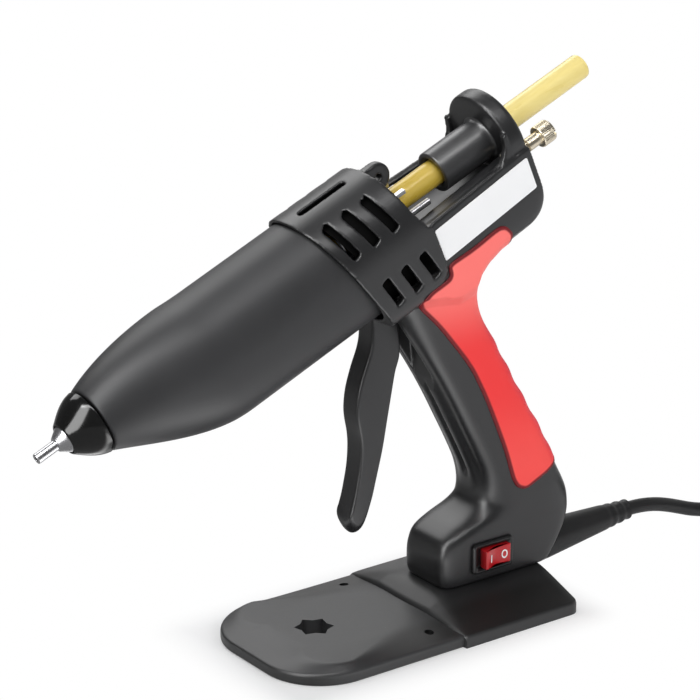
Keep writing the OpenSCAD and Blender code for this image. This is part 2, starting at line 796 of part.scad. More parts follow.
module stick_clamp() {
    color(steel) barrel() difference() {
        union() {
            rod_s(carriage_s[1], carriage_s[1] + clamp_t, clamp_r);
            both_sides()
                box([carriage_s[1], prong_end], [stick_r - 1, stick_r + 1.4], [stick_r - 1.4, stick_r + 0.4]);
        }
        rod_s(carriage_s[1] - cut, prong_end + cut, stick_r + slack / 2);
        for (side = [-1, 1])
            rod_s(carriage_s[1] - cut, carriage_s[1] + 2 * clamp_t, rod_r + slack, side * rod_y, rod_t);
    }
}
module drive_pin() {
    color(steel) barrel() rod_across(-lug_y[1], lug_y[1], drive_r, drive_s, drive_t);
}
module glue_stick() {
    bevel = 0.8;
    color(amber) barrel() turned_s() polygon([
        [0, stick_front], [stick_r, stick_front], [stick_r, stick_end - bevel], [stick_r - bevel, stick_end],
        [0, stick_end]
    ]);
}
spring_r = sleeve_r + slack + spring_wire;
spring_steps = 8;
spring_ends = [bracket_s[1] + spring_wire / 2 + seat, carriage_s[0] - spring_wire / 2 - seat];
function spring_point(k) =
    let (f = k / (spring_turns * spring_steps), a = 360 * k / spring_steps)
        [spring_ends[0] + f * (spring_ends[1] - spring_ends[0]), spring_r * cos(a), spring_r * sin(a)];
function spring_heading(k) = unit(spring_point(k + 1) - spring_point(k - 1));
function spring_ring(k) =
    let (
        out = unit([0, spring_point(k).y, spring_point(k).z]),
        dir = spring_heading(k),
        over = unit(cross(dir, out)),
        square = cross(over, dir)
    )
        [for (j = [0:5]) spring_point(k) + spring_wire / 2 * (cos(60 * j) * square + sin(60 * j) * over)];
spring_gap = norm(spring_point(spring_steps) - spring_point(0)) - spring_wire;
echo(str("return spring: least gap between turns ", spring_gap, " mm"));
module return_spring() {
    color(steel) barrel() skin([for (k = [0:spring_turns * spring_steps]) spring_ring(k)]);
}

// Trigger: outline from its pivot, hanging straight down at rest, with a forked arm up to the drive pin
fork_slot = drive_r + 0.3;
fork_half_w = fork_slot + 2.6;
fork_top = arm_len + 2.2;
trigger_outline = [
    [-6, 0], [-5.8, -16], [-7, -25], [-11, -35], [-14, -44], [-15.2, -52], [-15, -58], [-13.5, -66],
    [-13.2, -73], [-14.2, -82], [-16.3, -91.5], [-18.6, -100.5], [-20, -106.5], [-19, -110.5],
    [-15.5, -113.6],
    [-12, -113], [-9, -108], [-6.4, -99.4], [-3.4, -88], [0, -74.4], [2.7, -60.4], [5, -48.4], [7, -38.4],
    [9.6, -30], [9, -18], [6, 0]
];
module trigger() {
    color(black) translate([pivot_at.x, 0, pivot_at.y]) difference() {
        union() {
            plate_y(trigger_w / 2) polygon(trigger_outline);
            rod_across(-trigger_gap + slack, trigger_gap - slack, pivot_boss_r, 0, 0);
            rotate([0, half_turn - barrel_tilt, 0])
                box(fork_half_w * [-1, 1], (lug_y[0] - slack) * [-1, 1], [0, fork_top]);
        }
        rotate([0, half_turn - barrel_tilt, 0])
            box(fork_slot * [-1, 1], far / 4 * [-1, 1], [arm_len - 4, fork_top + cut]);
        rod_across(-far / 4, far / 4, pivot_r + run, 0, 0);
    }
}
module trigger_pin() {
    color(steel) rod_across(-16, 16, pivot_r, pivot_at.x, pivot_at.y);
}

// Rear stick guide and adjuster screw
module stick_guide() {
    color(black) barrel() difference() {
        union() {
            rod_s(flange_s - guide_len, flange_rear, guide_r);
            rod_s(flange_s - 1.6, flange_s - seat, guide_r + 1.2);
        }
        rod_s(flange_s - guide_len - cut, flange_rear + cut, stick_r + slack);
    }
}
adjuster_tip = carriage_s[1] + slack;
adjuster_head = flange_rear + 9;
adjuster_head_len = 8;
module adjuster_screw() {
    color(steel) barrel() difference() {
        union() {
            rod_s(adjuster_tip, adjuster_head + cut, adjuster_r, adjuster_y, adjuster_t);
            rod_s(adjuster_head, adjuster_head + adjuster_head_len, adjuster_head_r, adjuster_y, adjuster_t);
        }
        translate([adjuster_head + adjuster_head_len - 2, adjuster_y - far / 4, adjuster_t - 0.8])
            cube([far, far / 2, 1.6]);
    }
}
module adjuster_nut() {
    color(brass) barrel() difference() {
        rod_s(flange_s, flange_rear + cut, nut_r, adjuster_y, adjuster_t);
        rod_s(flange_s - cut, flange_rear + 2 * cut, adjuster_r + run, adjuster_y, adjuster_t);
    }
}

// Rocker switch on the near side of the foot
switch_body = [19.5, 12.5, 14];
switch_face_y = -18.6;
switch_flange_t = 1.5;
rocker_len = 16.6;
rocker_half_h = 4.6;
axle_r = 1.2;
axle_y = switch_face_y + 5;
axle_half = 5.7;
rocker_face = axle_y - switch_face_y + 2.4;
module switch_housing() {
    color(black) difference() {
        union() {
            box(span(switch_x, switch_len / 2), [switch_face_y, switch_face_y + switch_flange_t],
                span(switch_z, switch_h / 2));
            box(span(switch_x, switch_body[0] / 2), [switch_face_y, switch_face_y + switch_body[2]],
                span(switch_z, switch_body[1] / 2));
        }
        box(span(switch_x, rocker_len / 2 + 0.8), [switch_face_y - cut, switch_face_y + 10],
            span(switch_z, rocker_half_h + slack));
        translate([switch_x, axle_y, switch_z - axle_half - slack])
            cylinder(h = 2 * (axle_half + slack), r = axle_r + run);
    }
}
module switch_rocker() {
    color(red) translate([switch_x, axle_y, switch_z]) rotate([0, 0, rocker_lean]) {
        translate([0, 0, -rocker_half_h]) linear_extrude(2 * rocker_half_h) polygon([
            [-rocker_len / 2, 0.4 - rocker_face], [1 - rocker_len / 2, -rocker_face], [0, 1.6 - rocker_face],
            [rocker_len / 2 - 1, -rocker_face], [rocker_len / 2, 0.4 - rocker_face], [2.6, 2.2], [-2.6, 2.2]
        ]);
        translate([0, 0, -axle_half]) cylinder(h = 2 * axle_half, r = axle_r);
    }
}

// Terminal block on the floor of the foot, and the loom from there to the melt chamber
floor_z = saddle_h + cavity_inset;
module terminal_block() {
    color("ivory") box([42, 62], [3, 11], [floor_z, floor_z + 9]);
}
loom_in_barrel = [
    [4, 12, -26], [-8, 14, -18], [-20, loom_y, loom_t], [-34, loom_y, loom_t], [bracket_s[0], loom_y, loom_t]
];
loom_route = concat(
    [[56, 7, floor_z + 9 + loom_r], [64, 7, floor_z + 14], [70, 7, on_handle(26)], [71, 7, on_handle(38)],
     [67, 7, on_handle(52)], [60, 7, on_handle(68)], [51, 7, on_handle(84)], [42, 8, on_handle(100)],
     [32, 9, on_handle(116)], [24, 10, on_handle(130)]],
    [for (p = loom_in_barrel) let (q = from_barrel(p[0], p[2])) [q.x, p[1], q.y]]
);
module wire_loom() {
    color("white") tube(loom_route, loom_r, 8);
}

// Mains lead: strain relief, free stretch, coil with tie, plug
boot_end_r = cord_d / 2 + 1;
boot_end = boot_x + boot_len;
cord_r = cord_d / 2;
tie_t = 1.2;
coil_pitch = cord_d + 0.6;
coil_in_r = 31;
climb_dip = 0.3 * coil_pitch;
coil_out_r = coil_in_r + coil_turns * coil_pitch;
coil_start = [229, 21];
coil_start_angle = 150;
coil_lead = [cos(coil_start_angle - 90), sin(coil_start_angle - 90)];
coil_mid = coil_start - coil_out_r * [cos(coil_start_angle), sin(coil_start_angle)];
coil_z = tie_t + 0.3 + cord_r;
plug_half = [18, 8];
plug_round = 5;
plug_z = coil_z + coil_pitch + cord_r + plug_half[1] + 0.3;
plug_in = 18;
coil_first = [coil_start.x - cord_d * coil_lead.x, coil_start.y - cord_d * coil_lead.y, coil_z];
cord_route = [
    [boot_end, 0, boot_z], [154, 0, 20.3], [161, 0, 19.5], [168, 0, 18], [175, 0, 15.8], [182, 0, 13.2],
    [189, 0, 10.5], [195, 0, 8.6], [200, 0.1, 7.3], [205.5, 0.7, 6.2], [211.5, 2.6, 5.4], [217, 5.7, 5.1],
    [221.7, 9.9, coil_z], coil_first
];
module strain_relief() {
    color(black) translate([0, 0, boot_z]) {
        rod_s(boot_x - 14, boot_x + cut, boot_neck_r);
        translate([boot_x, 0, 0]) rotate([0, 90, 0]) cylinder(h = boot_len, r1 = boot_r, r2 = boot_end_r);
    }
}
module cord_run() {
    color(black) tube(cord_route, cord_r, 10);
}
// Coil, counted in turns from where the free stretch meets it: spiral in, climb, spiral out, rise, turn in
coil_steps = 24;
climb_end = coil_turns + 0.5;
rise_start = climb_end + coil_turns;
rise_end = rise_start + 0.25;
coil_end = rise_end + 5 / 12;
function ease(f) = let (g = min(1, max(0, f))) g * g * (3 - 2 * g);
function coil_radius(n) =
    n < coil_turns ? coil_out_r - coil_pitch * n :
    n < climb_end ? coil_in_r - climb_dip * sin(360 * (n - coil_turns)) :
    n < rise_end ? coil_in_r + coil_pitch * (n - climb_end) :
    coil_out_r + coil_pitch / 4 - (plug_in + coil_pitch / 4) * ease((n - rise_end) / (coil_end - rise_end));
function coil_height(n) =
    coil_z + coil_pitch * ease(2 * (n - coil_turns))
    + (plug_z - coil_z - coil_pitch) * ease(4 * (n - rise_start));
function coil_point(n) = let (a = coil_start_angle - 360 * n)
    [coil_mid.x + coil_radius(n) * cos(a), coil_mid.y + coil_radius(n) * sin(a), coil_height(n)];
coil_last = coil_point(coil_end);
coil_route = concat(
    [coil_first],
    [for (k = [0:coil_end * coil_steps]) coil_point(k / coil_steps)],
    [coil_last + [cord_d, 0, 0]]
);
coil_gap = min([
    for (i = [0:len(coil_route) - 1], j = [i + 12:1:len(coil_route) - 1]) norm(coil_route[i] - coil_route[j])
]) - cord_d;
coil_spans = [for (k = [1:len(coil_route) - 1]) norm(coil_route[k] - coil_route[k - 1])];
coil_length = coil_spans * [for (k = coil_spans) 1];
echo(str("cord coil: length ", coil_length, " mm"));
echo(str("cord coil: least gap between turns ", coil_gap, " mm"));
module cord_coil() {
    color(black) tube(coil_route, cord_r, 6);
}
tie_w = 8;
tie_angle = 0;
module tie_block(grow, half_w) {
    translate([coil_mid.x, coil_mid.y, 0]) rotate(tie_angle)
        box([coil_in_r - climb_dip - cord_r - seat - grow, coil_out_r + cord_r + seat + grow],
            span(0, half_w),
            [coil_z - cord_r - seat - grow, coil_z + coil_pitch + cord_r + seat + grow]);
}
module cord_tie() {
    color("gray") difference() {
        tie_block(tie_t, tie_w / 2);
        tie_block(0, tie_w);
    }
}
plug_neck = 14;
plug_len = 36;
pin_r = 2.4;
pin_y = 9.5;
pin_len = 19;
pin_root = 8;
pin_root_r = pin_r - 0.4;
pin_step = 0.5;
plug_face = plug_neck + plug_len;
plug_at = coil_last + [cord_d, 0, 0];
module plug_body() {
    color(black) translate(plug_at) {
        rotate([0, 90, 0]) cylinder(h = plug_neck, r1 = cord_r + 0.8, r2 = plug_half[1] - 1);
        difference() {
            hull() for (y = plug_half[0] - plug_round, z = plug_half[1] - plug_round)
                both_sides() for (up = [-1, 1])
                    rod_s(plug_neck, plug_face, plug_round, y, up * z, $fn = 32);
            for (side = [-1, 1])
                rod_s(plug_face - pin_root - seat, plug_face + cut, pin_root_r + run, side * pin_y, 0);
        }
    }
}
module plug_pins() {
    color(steel) translate(plug_at) for (side = [-1, 1]) {
        rod_s(plug_face - pin_root, plug_face + pin_step + cut, pin_root_r, side * pin_y, 0);
        rod_s(plug_face + pin_step, plug_face + pin_len, pin_r, side * pin_y, 0);
    }
}

base_tray();
base_saddle();
saddle_screws();
foot_screws();
left_shell();
right_shell();
shell_screws();
soft_grip();
label_plate();
nose_cone();
nose_cap();
nozzle();
melt_chamber();
heater_cartridges();
thermostat();
chamber_bracket();
inlet_sleeve();
guide_rods();
feed_carriage();
stick_clamp();
drive_pin();
glue_stick();
return_spring();
trigger();
trigger_pin();
stick_guide();
adjuster_screw();
adjuster_nut();
switch_housing();
switch_rocker();
terminal_block();
wire_loom();
strain_relief();
cord_run();
cord_coil();
cord_tie();
plug_body();
plug_pins();
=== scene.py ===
"""Hot glue applicator on its bench stand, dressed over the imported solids.

Sizes are in millimetres in the formulas and become metres in the meshes. World places are (x, y, z);
barrel places are (s, y, t): s along the glue stick to the rear, t square to it and up.
"""
import math

import bmesh
import bpy
import numpy as np
from mathutils import Matrix


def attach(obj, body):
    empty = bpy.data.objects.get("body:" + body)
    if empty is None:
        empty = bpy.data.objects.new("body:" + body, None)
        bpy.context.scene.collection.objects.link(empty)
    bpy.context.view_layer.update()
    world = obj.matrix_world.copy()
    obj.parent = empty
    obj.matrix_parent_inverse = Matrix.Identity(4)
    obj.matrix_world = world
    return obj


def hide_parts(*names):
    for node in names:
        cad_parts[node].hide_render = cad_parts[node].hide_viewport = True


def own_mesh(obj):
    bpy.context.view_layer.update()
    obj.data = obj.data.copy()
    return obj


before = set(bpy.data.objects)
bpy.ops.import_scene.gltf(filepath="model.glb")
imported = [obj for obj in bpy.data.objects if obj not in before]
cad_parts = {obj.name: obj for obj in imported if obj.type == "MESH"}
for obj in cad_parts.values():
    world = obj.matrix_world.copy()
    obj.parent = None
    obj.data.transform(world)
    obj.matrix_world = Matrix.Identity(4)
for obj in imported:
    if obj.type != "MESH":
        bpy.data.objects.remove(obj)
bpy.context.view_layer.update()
MM = 0.001

# Camera: turn and rise in degrees, distance, and pixels of the photograph
AZIMUTH = -36.2
ELEVATION = 19.6
REACH = 1397.0
FOCAL_PX = 3000.0
PICTURE_PX = 700.0
ORIGIN_PX = (385.7, 621.6)
# Where the lamps face, in metres
LAMPS_AIM = (0.0, 0.0, 0.15)
# Level direction away from the camera
FAR_X = -math.sin(math.radians(AZIMUTH))
FAR_Y = math.cos(math.radians(AZIMUTH))

# Barrel and nose
AXIS_H = 202.0
TILT = math.radians(23.3)
NOSE_S = -169.0
NOSE_R = 15.2
CAP_LEN = 15.0
MOUTH_R = 7.5
TIP_LEN = 15.0
TIP_R = 2.4
TIP_BORE = 1.05
BARREL_W = 25.5
BARREL_H = 30.2
BARREL_TOP = 29.6
BARREL_DROP = 8.0
BARREL_SQUARE = 2.3

# Collar, body and flange
COLLAR_FRONT = -51.0
COLLAR_LEAN = math.tan(math.radians(17.0))
COLLAR_OUT = 2.8
COLLAR_IN = 0.7
COLLAR_TOP = BARREL_H + COLLAR_OUT - BARREL_DROP
VENT_LEAN = math.radians(15.0)
VENT_HALF = 2.25
EYE = np.array([-0.3, 16.2])
EYE_R = 6.6
EYE_HALF = 2.4
EYE_BORE = 1.6
FLANGE_S = 56.7
FLANGE_REAR = FLANGE_S + 9.2
FLANGE_R = 21.7
BODY_W = 26.5
TAIL_W = 22.0
TAIL_S = 53.5
TAIL_REACH = 12.8
RIM_T = -5.0
TROUGH_T = -14.0
WALL = 3.4
SHELL_GRID = 0.72

# Stick, guide and adjuster
STICK_R = 6.0
STICK_FRONT = -100.0
STICK_REAR = 120.4
GUIDE_R = 10.0
GUIDE_LEN = 29.2
ADJUSTER_Y = -16.0
ADJUSTER_T = -7.5

# Handle, grip and trigger
SADDLE_H = 15.0
GRIP_PROUD = 0.8
GRIP_TOP = -26.5
# Width of the band of painted shade along the grip's edges
EDGE_SHADE_W = 3.4
PIVOT = np.array([-6.234, 163.385])
SLOT_HALF = 7.2
TRIGGER_HALF = 6.0

# Stand
TRAY_REACH = 77.2
TRAY_W = 87.6
TRAY_END = 14.0
TRAY_CORNER = 30.0
TRAY_TOP = 8.7
EDGE_H = 5.4
FRONT_SLOPE = 18.0
STAR_X = -41.0
STAR_R = 9.3
STAR_NOTCH = 6.9
BENCH_Y = 33.0
BENCH_R = 2.25
SADDLE_X = 80.6
SADDLE_W = 91.0
SADDLE_CORNER = 6.0
JOINT_X = 9.0
PAD_W = 17.5

# Switch
SWITCH_X = 49.0
SWITCH_Y = -18.6
SWITCH_Z = 27.5
AXLE_Y = -13.6
ROCKER_LEAN = math.radians(8.0)
VALLEY = -5.9

# Lead, its coil and plug
CORD_D = 7.0
BOOT_X = 93.0
BOOT_LEN = 54.0
BOOT_Z = 20.5
COIL_PITCH = CORD_D + 0.6
COIL_TURNS = 3
COIL_IN = 31.0
COIL_OUT = COIL_IN + COIL_TURNS * COIL_PITCH
COIL_DIP = 0.3 * COIL_PITCH
TIE_T = 1.2
COIL_Z = TIE_T + 0.3 + CORD_D / 2
COIL_START = math.radians(150.0)
COIL_MID = np.array([229.0, 21.0]) - COIL_OUT * np.array([math.cos(COIL_START), math.sin(COIL_START)])
PLUG_Z = COIL_Z + COIL_PITCH + CORD_D / 2 + 8.3
PLUG_LEN = 50.0
PIN_Y = 9.5


# Camera, lamps, floor and background

def placed(name, data, turn, place):
    """An object for a camera or lamp, with the columns of turn as its axes."""
    made = bpy.data.objects.new(name, data)
    rows = [[*row, p] for row, p in zip(turn, place)]
    made.matrix_world = Matrix([*rows, [0, 0, 0, 1]])
    bpy.context.scene.collection.objects.link(made)
    return made


def make_camera():
    """A level camera, turned and raised about the origin, which it sees at ORIGIN_PX."""
    a = math.radians(AZIMUTH)
    e = math.radians(ELEVATION)
    right = np.array([math.cos(a), math.sin(a), 0.0])
    back = np.array([math.sin(a) * math.cos(e), -math.cos(a) * math.cos(e), math.sin(e)])
    up = np.cross(back, right)
    across, below = (np.array(ORIGIN_PX) - PICTURE_PX / 2) * REACH / FOCAL_PX
    data = bpy.data.cameras.new("camera")
    data.sensor_width = 36.0
    data.lens = FOCAL_PX * data.sensor_width / PICTURE_PX
    data.clip_start = 0.05
    data.clip_end = 50.0
    place = (REACH * back - across * right + below * up) * MM
    bpy.context.scene.camera = placed("camera", data, np.stack([right, up, back], 1), place)


def make_lamp(name, place, wide, tall, power, mirrored):
    """A soft box facing the part, wide along the level and tall across it: seen in gloss, or lighting."""
    data = bpy.data.lights.new(name, "AREA")
    data.shape = "RECTANGLE"
    data.size = wide
    data.size_y = tall
    data.energy = power
    back = np.array(place) - LAMPS_AIM
    back /= np.linalg.norm(back)
    side = np.cross([0.0, 0.0, 1.0], back)
    side /= np.linalg.norm(side)
    lamp = placed(name, data, np.stack([side, np.cross(back, side), back], 1), place)
    lamp.visible_glossy = mirrored
    lamp.visible_diffuse = not mirrored


def seen_directly(finish):
    """Two masks: 1 for what the camera sees, and 1 for what mirrors and clear things show."""
    ray = finish.node("ShaderNodeLightPath")
    return ray["Is Camera Ray"], ray["Is Glossy Ray"].most(ray["Is Transmission Ray"])


def make_floor():
    """A pale floor that keeps the shadow near the stand and turns white farther off.

    Gloss sees it dim at the left and near the camera, and as a bright card under the nose.
    """
    f = Finish("pale floor")
    tone = f.blend(f.speckle(400.0, 1.0), (0.88, 0.88, 0.88), (0.92, 0.92, 0.92))
    f.shade(Base_Color=tone, Roughness=0.9, Specular_IOR_Level=0.1)
    camera, shown = seen_directly(f)
    x, y, _ = f.axes()
    far = x * FAR_X + y * FAR_Y
    left = y * FAR_X - x * FAR_Y
    aside = (abs(y) - 0.045).most(0.0)
    along = (abs(x) - 0.079).most(0.0)
    from_stand = (aside * aside + along * along).root()
    white_share = 0.02 + 0.98 * from_stand.step(-0.012, 0.022)
    room = (1 - far.step(-0.75, -0.4)).most(left.step(0.0, 0.08) * far.step(-0.02, 0.03))
    room = room.most((0 - x).step(0.1, 0.135))
    card = left.step(-0.13, -0.02) * (1 - far.step(0.0, 0.05)) * from_stand.step(0.012, 0.05)
    glow = f.blend(shown, (1.0, 1.0, 1.0), (4.4, 4.4, 4.4))
    white = f.node("ShaderNodeEmission", None, {"Color": glow})["Emission"]
    dim = f.node("ShaderNodeEmission", None, {"Color": (0.32, 0.32, 0.32)})["Emission"]
    pale = f.mix_shader(camera * white_share + shown * card, f.lit(), white)
    f.plug(f.surface, f.mix_shader(shown * room, pale, dim))
    mesh = bpy.data.meshes.new("floor")
    mesh.from_pydata([(-4, -4, 0), (4, -4, 0), (4, 4, 0), (-4, 4, 0)], [], [(0, 1, 2, 3)])
    mesh.materials.append(f.material)
    linked("floor", mesh)


def make_studio():
    """White to the camera; gloss sees a pale backdrop low behind, not at the left, else a dim room."""
    f = Finish("studio", "worlds", "Generated")
    camera, shown = seen_directly(f)
    x, y, z = f.axes()
    behind = (x * FAR_X + y * FAR_Y).step(-0.1, 0.25)
    at_left = (y * FAR_X - x * FAR_Y).step(0.1, 0.5)
    backdrop = behind * (1 - z.step(0.45, 0.65)) * (1 - at_left)
    f.shade(Color=(0.95, 0.97, 1.0), Strength=0.32)
    sky = (1.0, 1.0, 1.0)
    white = f.node("ShaderNodeBackground", None, {"Color": sky, "Strength": 1.0})["Background"]
    dim = f.node("ShaderNodeBackground", None, {"Color": sky, "Strength": 0.12})["Background"]
    room = f.mix_shader(shown, f.lit(), dim)
    f.plug(f.surface, f.mix_shader(camera.most(shown * backdrop * 0.6), room, white))
    bpy.context.scene.world = f.material


# Shader maths

class Wire:
    """A socket's value in a material, with arithmetic that adds Math nodes."""

    def __init__(self, finish, socket):
        self.finish = finish
        self.socket = socket

    def math(self, operation, *values):
        return self.finish.node("ShaderNodeMath", {"operation": operation}, dict(enumerate(values)))["Value"]

    def __add__(self, other):
        return self.math("ADD", self, other)

    def __sub__(self, other):
        return self.math("SUBTRACT", self, other)

    def __rsub__(self, other):
        return self.math("SUBTRACT", other, self)

    def __mul__(self, other):
        return self.math("MULTIPLY", self, other)

    def __abs__(self):
        return self.math("ABSOLUTE", self)

    __radd__ = __add__
    __rmul__ = __mul__

    def most(self, other):
        """The larger of two values."""
        return self.math("MAXIMUM", self, other)

    def root(self):
        return self.math("SQRT", self)

    def step(self, low, high):
        """0 below low, 1 above high, smooth between."""
        sockets = {"Value": self, "From Min": low, "From Max": high}
        return self.finish.node("ShaderNodeMapRange", {"interpolation_type": "SMOOTHSTEP"}, sockets)["Result"]


class Finish:
    """A material, or the world, under construction."""

    def __init__(self, name, kind="materials", coordinates="Object"):
        self.material = getattr(bpy.data, kind).new(name)
        self.material.use_nodes = True
        self.tree = self.material.node_tree
        self.shader = next(n for n in self.tree.nodes if n.type in ("BSDF_PRINCIPLED", "BACKGROUND"))
        self.surface = next(n for n in self.tree.nodes if n.type.startswith("OUTPUT")).inputs["Surface"]
        self.place = self.node("ShaderNodeTexCoord")[coordinates]

    def node(self, kind, settings=None, sockets=None):
        """A node of that type, with its settings and its sockets' values or links; gives its outputs."""
        made = self.tree.nodes.new(kind)
        for key, value in (settings or {}).items():
            setattr(made, key, value)
        for key, value in (sockets or {}).items():
            self.plug(made.inputs[key], value)
        return {out.name: Wire(self, out) for out in made.outputs if out.enabled}

    def plug(self, socket, value):
        """Links a wire to a socket, or sets its value."""
        if isinstance(value, Wire):
            self.tree.links.new(value.socket, socket)
        elif socket.type == "RGBA":
            socket.default_value = (*value, 1.0)
        else:
            socket.default_value = value

    def shade(self, **sockets):
        """Values or links for the shader's sockets, with underscores for blanks."""
        for key, value in sockets.items():
            self.plug(self.shader.inputs[key.replace("_", " ")], value)
        return self.material

    def lit(self):
        """The shader's own result."""
        return Wire(self, self.shader.outputs[0])

    def axes(self):
        """The place's x, y and z."""
        part = self.node("ShaderNodeSeparateXYZ", None, {"Vector": self.place})
        return part["X"], part["Y"], part["Z"]

    def attribute(self, name):
        """A number kept in the mesh under that name."""
        return self.node("ShaderNodeAttribute", {"attribute_name": name})["Fac"]

    def speckle(self, size, detail=2.0, stretch=(1.0, 1.0, 1.0)):
        """Noise from 0 to 1 with features of about that size in millimetres, drawn out by stretch."""
        drawn_out = {"Vector": self.place, "Scale": tuple(1.0 / k for k in stretch)}
        scaled = self.node("ShaderNodeMapping", None, drawn_out)["Vector"]
        sockets = {"Vector": scaled, "Scale": 1 / (size * MM), "Detail": detail}
        return self.node("ShaderNodeTexNoise", None, sockets)["Fac"]

    def blend(self, mask, first, second):
        """A colour going from first to second as mask goes from 0 to 1."""
        return self.node("ShaderNodeMix", {"data_type": "RGBA"}, {0: mask, 6: first, 7: second})["Result"]

    def mix_shader(self, mask, first, second):
        """A shader going from first to second as mask goes from 0 to 1."""
        return self.node("ShaderNodeMixShader", None, {0: mask, 1: first, 2: second})["Shader"]

    def grain(self, height, strength, depth=0.08):
        """Bump from a height of 0 to 1, with that depth in millimetres."""
        sockets = {"Height": height, "Strength": strength, "Distance": depth * MM}
        return self.node("ShaderNodeBump", None, sockets)["Normal"]


# Finishes

def moulded(name, dark, light, rough, grain_size=0.5, strength=0.12, coat=0.0, mirror=0.5):
    """Moulded plastic: two close tones in soft clouds, a fine grain, and gloss that varies with both."""
    f = Finish(name)
    cloud = f.speckle(18.0, 3.0)
    fine = f.speckle(grain_size)
    return f.shade(
        Base_Color=f.blend(cloud * 0.7 + fine * 0.3, dark, light),
        Roughness=fine * 0.10 + cloud * 0.06 + (rough - 0.08),
        Coat_Weight=coat,
        Coat_Roughness=0.12,
        Normal=f.grain(fine, strength),
        Specular_IOR_Level=mirror,
    )


def stand_finish(name, dark, light, mirror):
    """Fine-grained plastic, side walls paler as painted light, front wall and side slopes darkest as painted
    shade.
    """
    f = Finish(name)
    fine = f.speckle(0.6)
    cloud = f.speckle(9.0)
    x, y, z = f.axes()
    on_wall = 1 - z.step(0.0045, 0.0056)
    # Painted light: the lower side walls toward the rear lifted to a paler grey.
    painted_wall_light = on_wall * abs(y).step(0.03, 0.042) * x.step(-0.07, -0.05)
    # Painted shade: the front wall darkened to near black.
    front = on_wall * (0 - x).step(0.055, 0.07)
    # Painted shade: the side slopes of the top darkened to near black.
    slope = z.step(0.0054, 0.006) * abs(y).step(0.022, 0.03) * x.step(-0.05, -0.015)
    grey = f.blend(cloud * 0.6 + fine * 0.4, (dark, dark, dark * 1.06), (light, light, light * 1.06))
    grey = f.blend(front.most(slope), grey, (0.003, 0.003, 0.003))
    return f.shade(
        Base_Color=f.blend(painted_wall_light, grey, (0.034, 0.034, 0.035)),
        Roughness=fine * 0.1 + 0.4,
        Normal=f.grain(fine, 0.2, 0.1),
        Specular_IOR_Level=mirror,
    )


def grip_finish():
    """Soft red rubber; painted light makes it paler toward the top, painted shade deeper at the back and dark
    along its edges.
    """
    f = Finish("soft red grip")
    cloud = f.speckle(18.0, 3.0)
    fine = f.speckle(0.5)
    z = f.axes()[2]
    red = f.blend(cloud * 0.7 + fine * 0.3, (0.88, 0.06, 0.055), (0.95, 0.085, 0.075))
    # Painted light and shade by height: deeper red from 70 to 110 mm up, paler again from 130 to 170 mm up
    # where the light falls.
    red = f.blend(z.step(0.07, 0.11), red, (0.86, 0.036, 0.036))
    red = f.blend(z.step(0.13, 0.17), red, (0.97, 0.18, 0.16))
    # Painted shade: a deeper red down the back.
    red = f.blend(f.attribute("back").step(0.1, 0.9), red, (0.72, 0.008, 0.03))
    return f.shade(
        # Painted shade: a dark band along the grip's edges.
        Base_Color=f.blend(f.attribute("edge_shade").step(0.35, 0.65), red, (0.16, 0.003, 0.007)),
        Roughness=fine * 0.1 + 0.46,
        Normal=f.grain(fine, 0.12),
        Specular_IOR_Level=0.35,
    )


def stick_finish():
    """Glue: deep amber inside the casing, straw where light gets in behind, with lengthwise streaks."""
    f = Finish("glue stick")
    x, _, z = f.axes()
    along = x * (math.cos(TILT) / MM) + z * (math.sin(TILT) / MM) - AXIS_H * math.sin(TILT)
    streak = f.speckle(1.6, 2.0, (9.0, 1.0, 4.0))
    amber = f.blend(streak, (0.52, 0.35, 0.04), (0.62, 0.45, 0.07))
    straw = f.blend(streak, (0.76, 0.60, 0.18), (0.86, 0.72, 0.28))
    return f.shade(
        Base_Color=f.blend(along.step(40.0, 70.0), amber, straw),
        Roughness=streak * 0.14 + 0.22,
        Coat_Weight=0.2,
        Normal=f.grain(streak, 0.05),
    )


def turned_metal(name, colour, shade, rough, line=0.25):
    """Bright metal with fine tool marks and slightly duller patches."""
    f = Finish(name)
    lines = f.speckle(line, 3.0)
    patch = f.speckle(7.0)
    return f.shade(
        Base_Color=f.blend(patch, shade, colour),
        Metallic=1.0,
        Roughness=lines * 0.16 + patch * 0.1 + (rough - 0.1),
        Normal=f.grain(lines, 0.12, 0.04),
    )


# Meshes

def linked(name, mesh):
    """A new object of that mesh in the scene."""
    made = bpy.data.objects.new(name, mesh)
    bpy.context.scene.collection.objects.link(made)
    return made


def mesh_of(name, points, faces, weld):
    """A mesh from points in millimetres and faces, turned outward; weld joins points that meet."""
    mesh = bpy.data.meshes.new(name)
    mesh.from_pydata((np.asarray(points, float).reshape(-1, 3) * MM).tolist(), [], faces)
    work = bmesh.new()
    work.from_mesh(mesh)
    if weld:
        bmesh.ops.remove_doubles(work, verts=work.verts, dist=1e-6)
    bmesh.ops.recalc_face_normals(work, faces=work.faces)
    work.to_mesh(mesh)
    work.free()
    return mesh


def smoothed(mesh, crease):
    """Smooth shading, but for edges sharper than crease degrees."""
    mesh.shade_smooth()
    mesh.set_sharp_from_angle(angle=math.radians(crease))


def dressed(piece, material, body="casing", node=(), slot=None):
    """Gives a piece its material, the body it rides on and the solids it stands for, which it hides; slot is
    not used.
    """
    piece.data.materials.clear()
    piece.data.materials.append(material)
    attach(piece, body)
    if node:
        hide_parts(*node)
    return piece


def laid_mesh(name, points, faces, material, crease=38.0, **dress):
    """A piece from points in millimetres and faces."""
    mesh = mesh_of(name, points, faces, True)
    smoothed(mesh, crease)
    return dressed(linked(name, mesh), material, **dress)


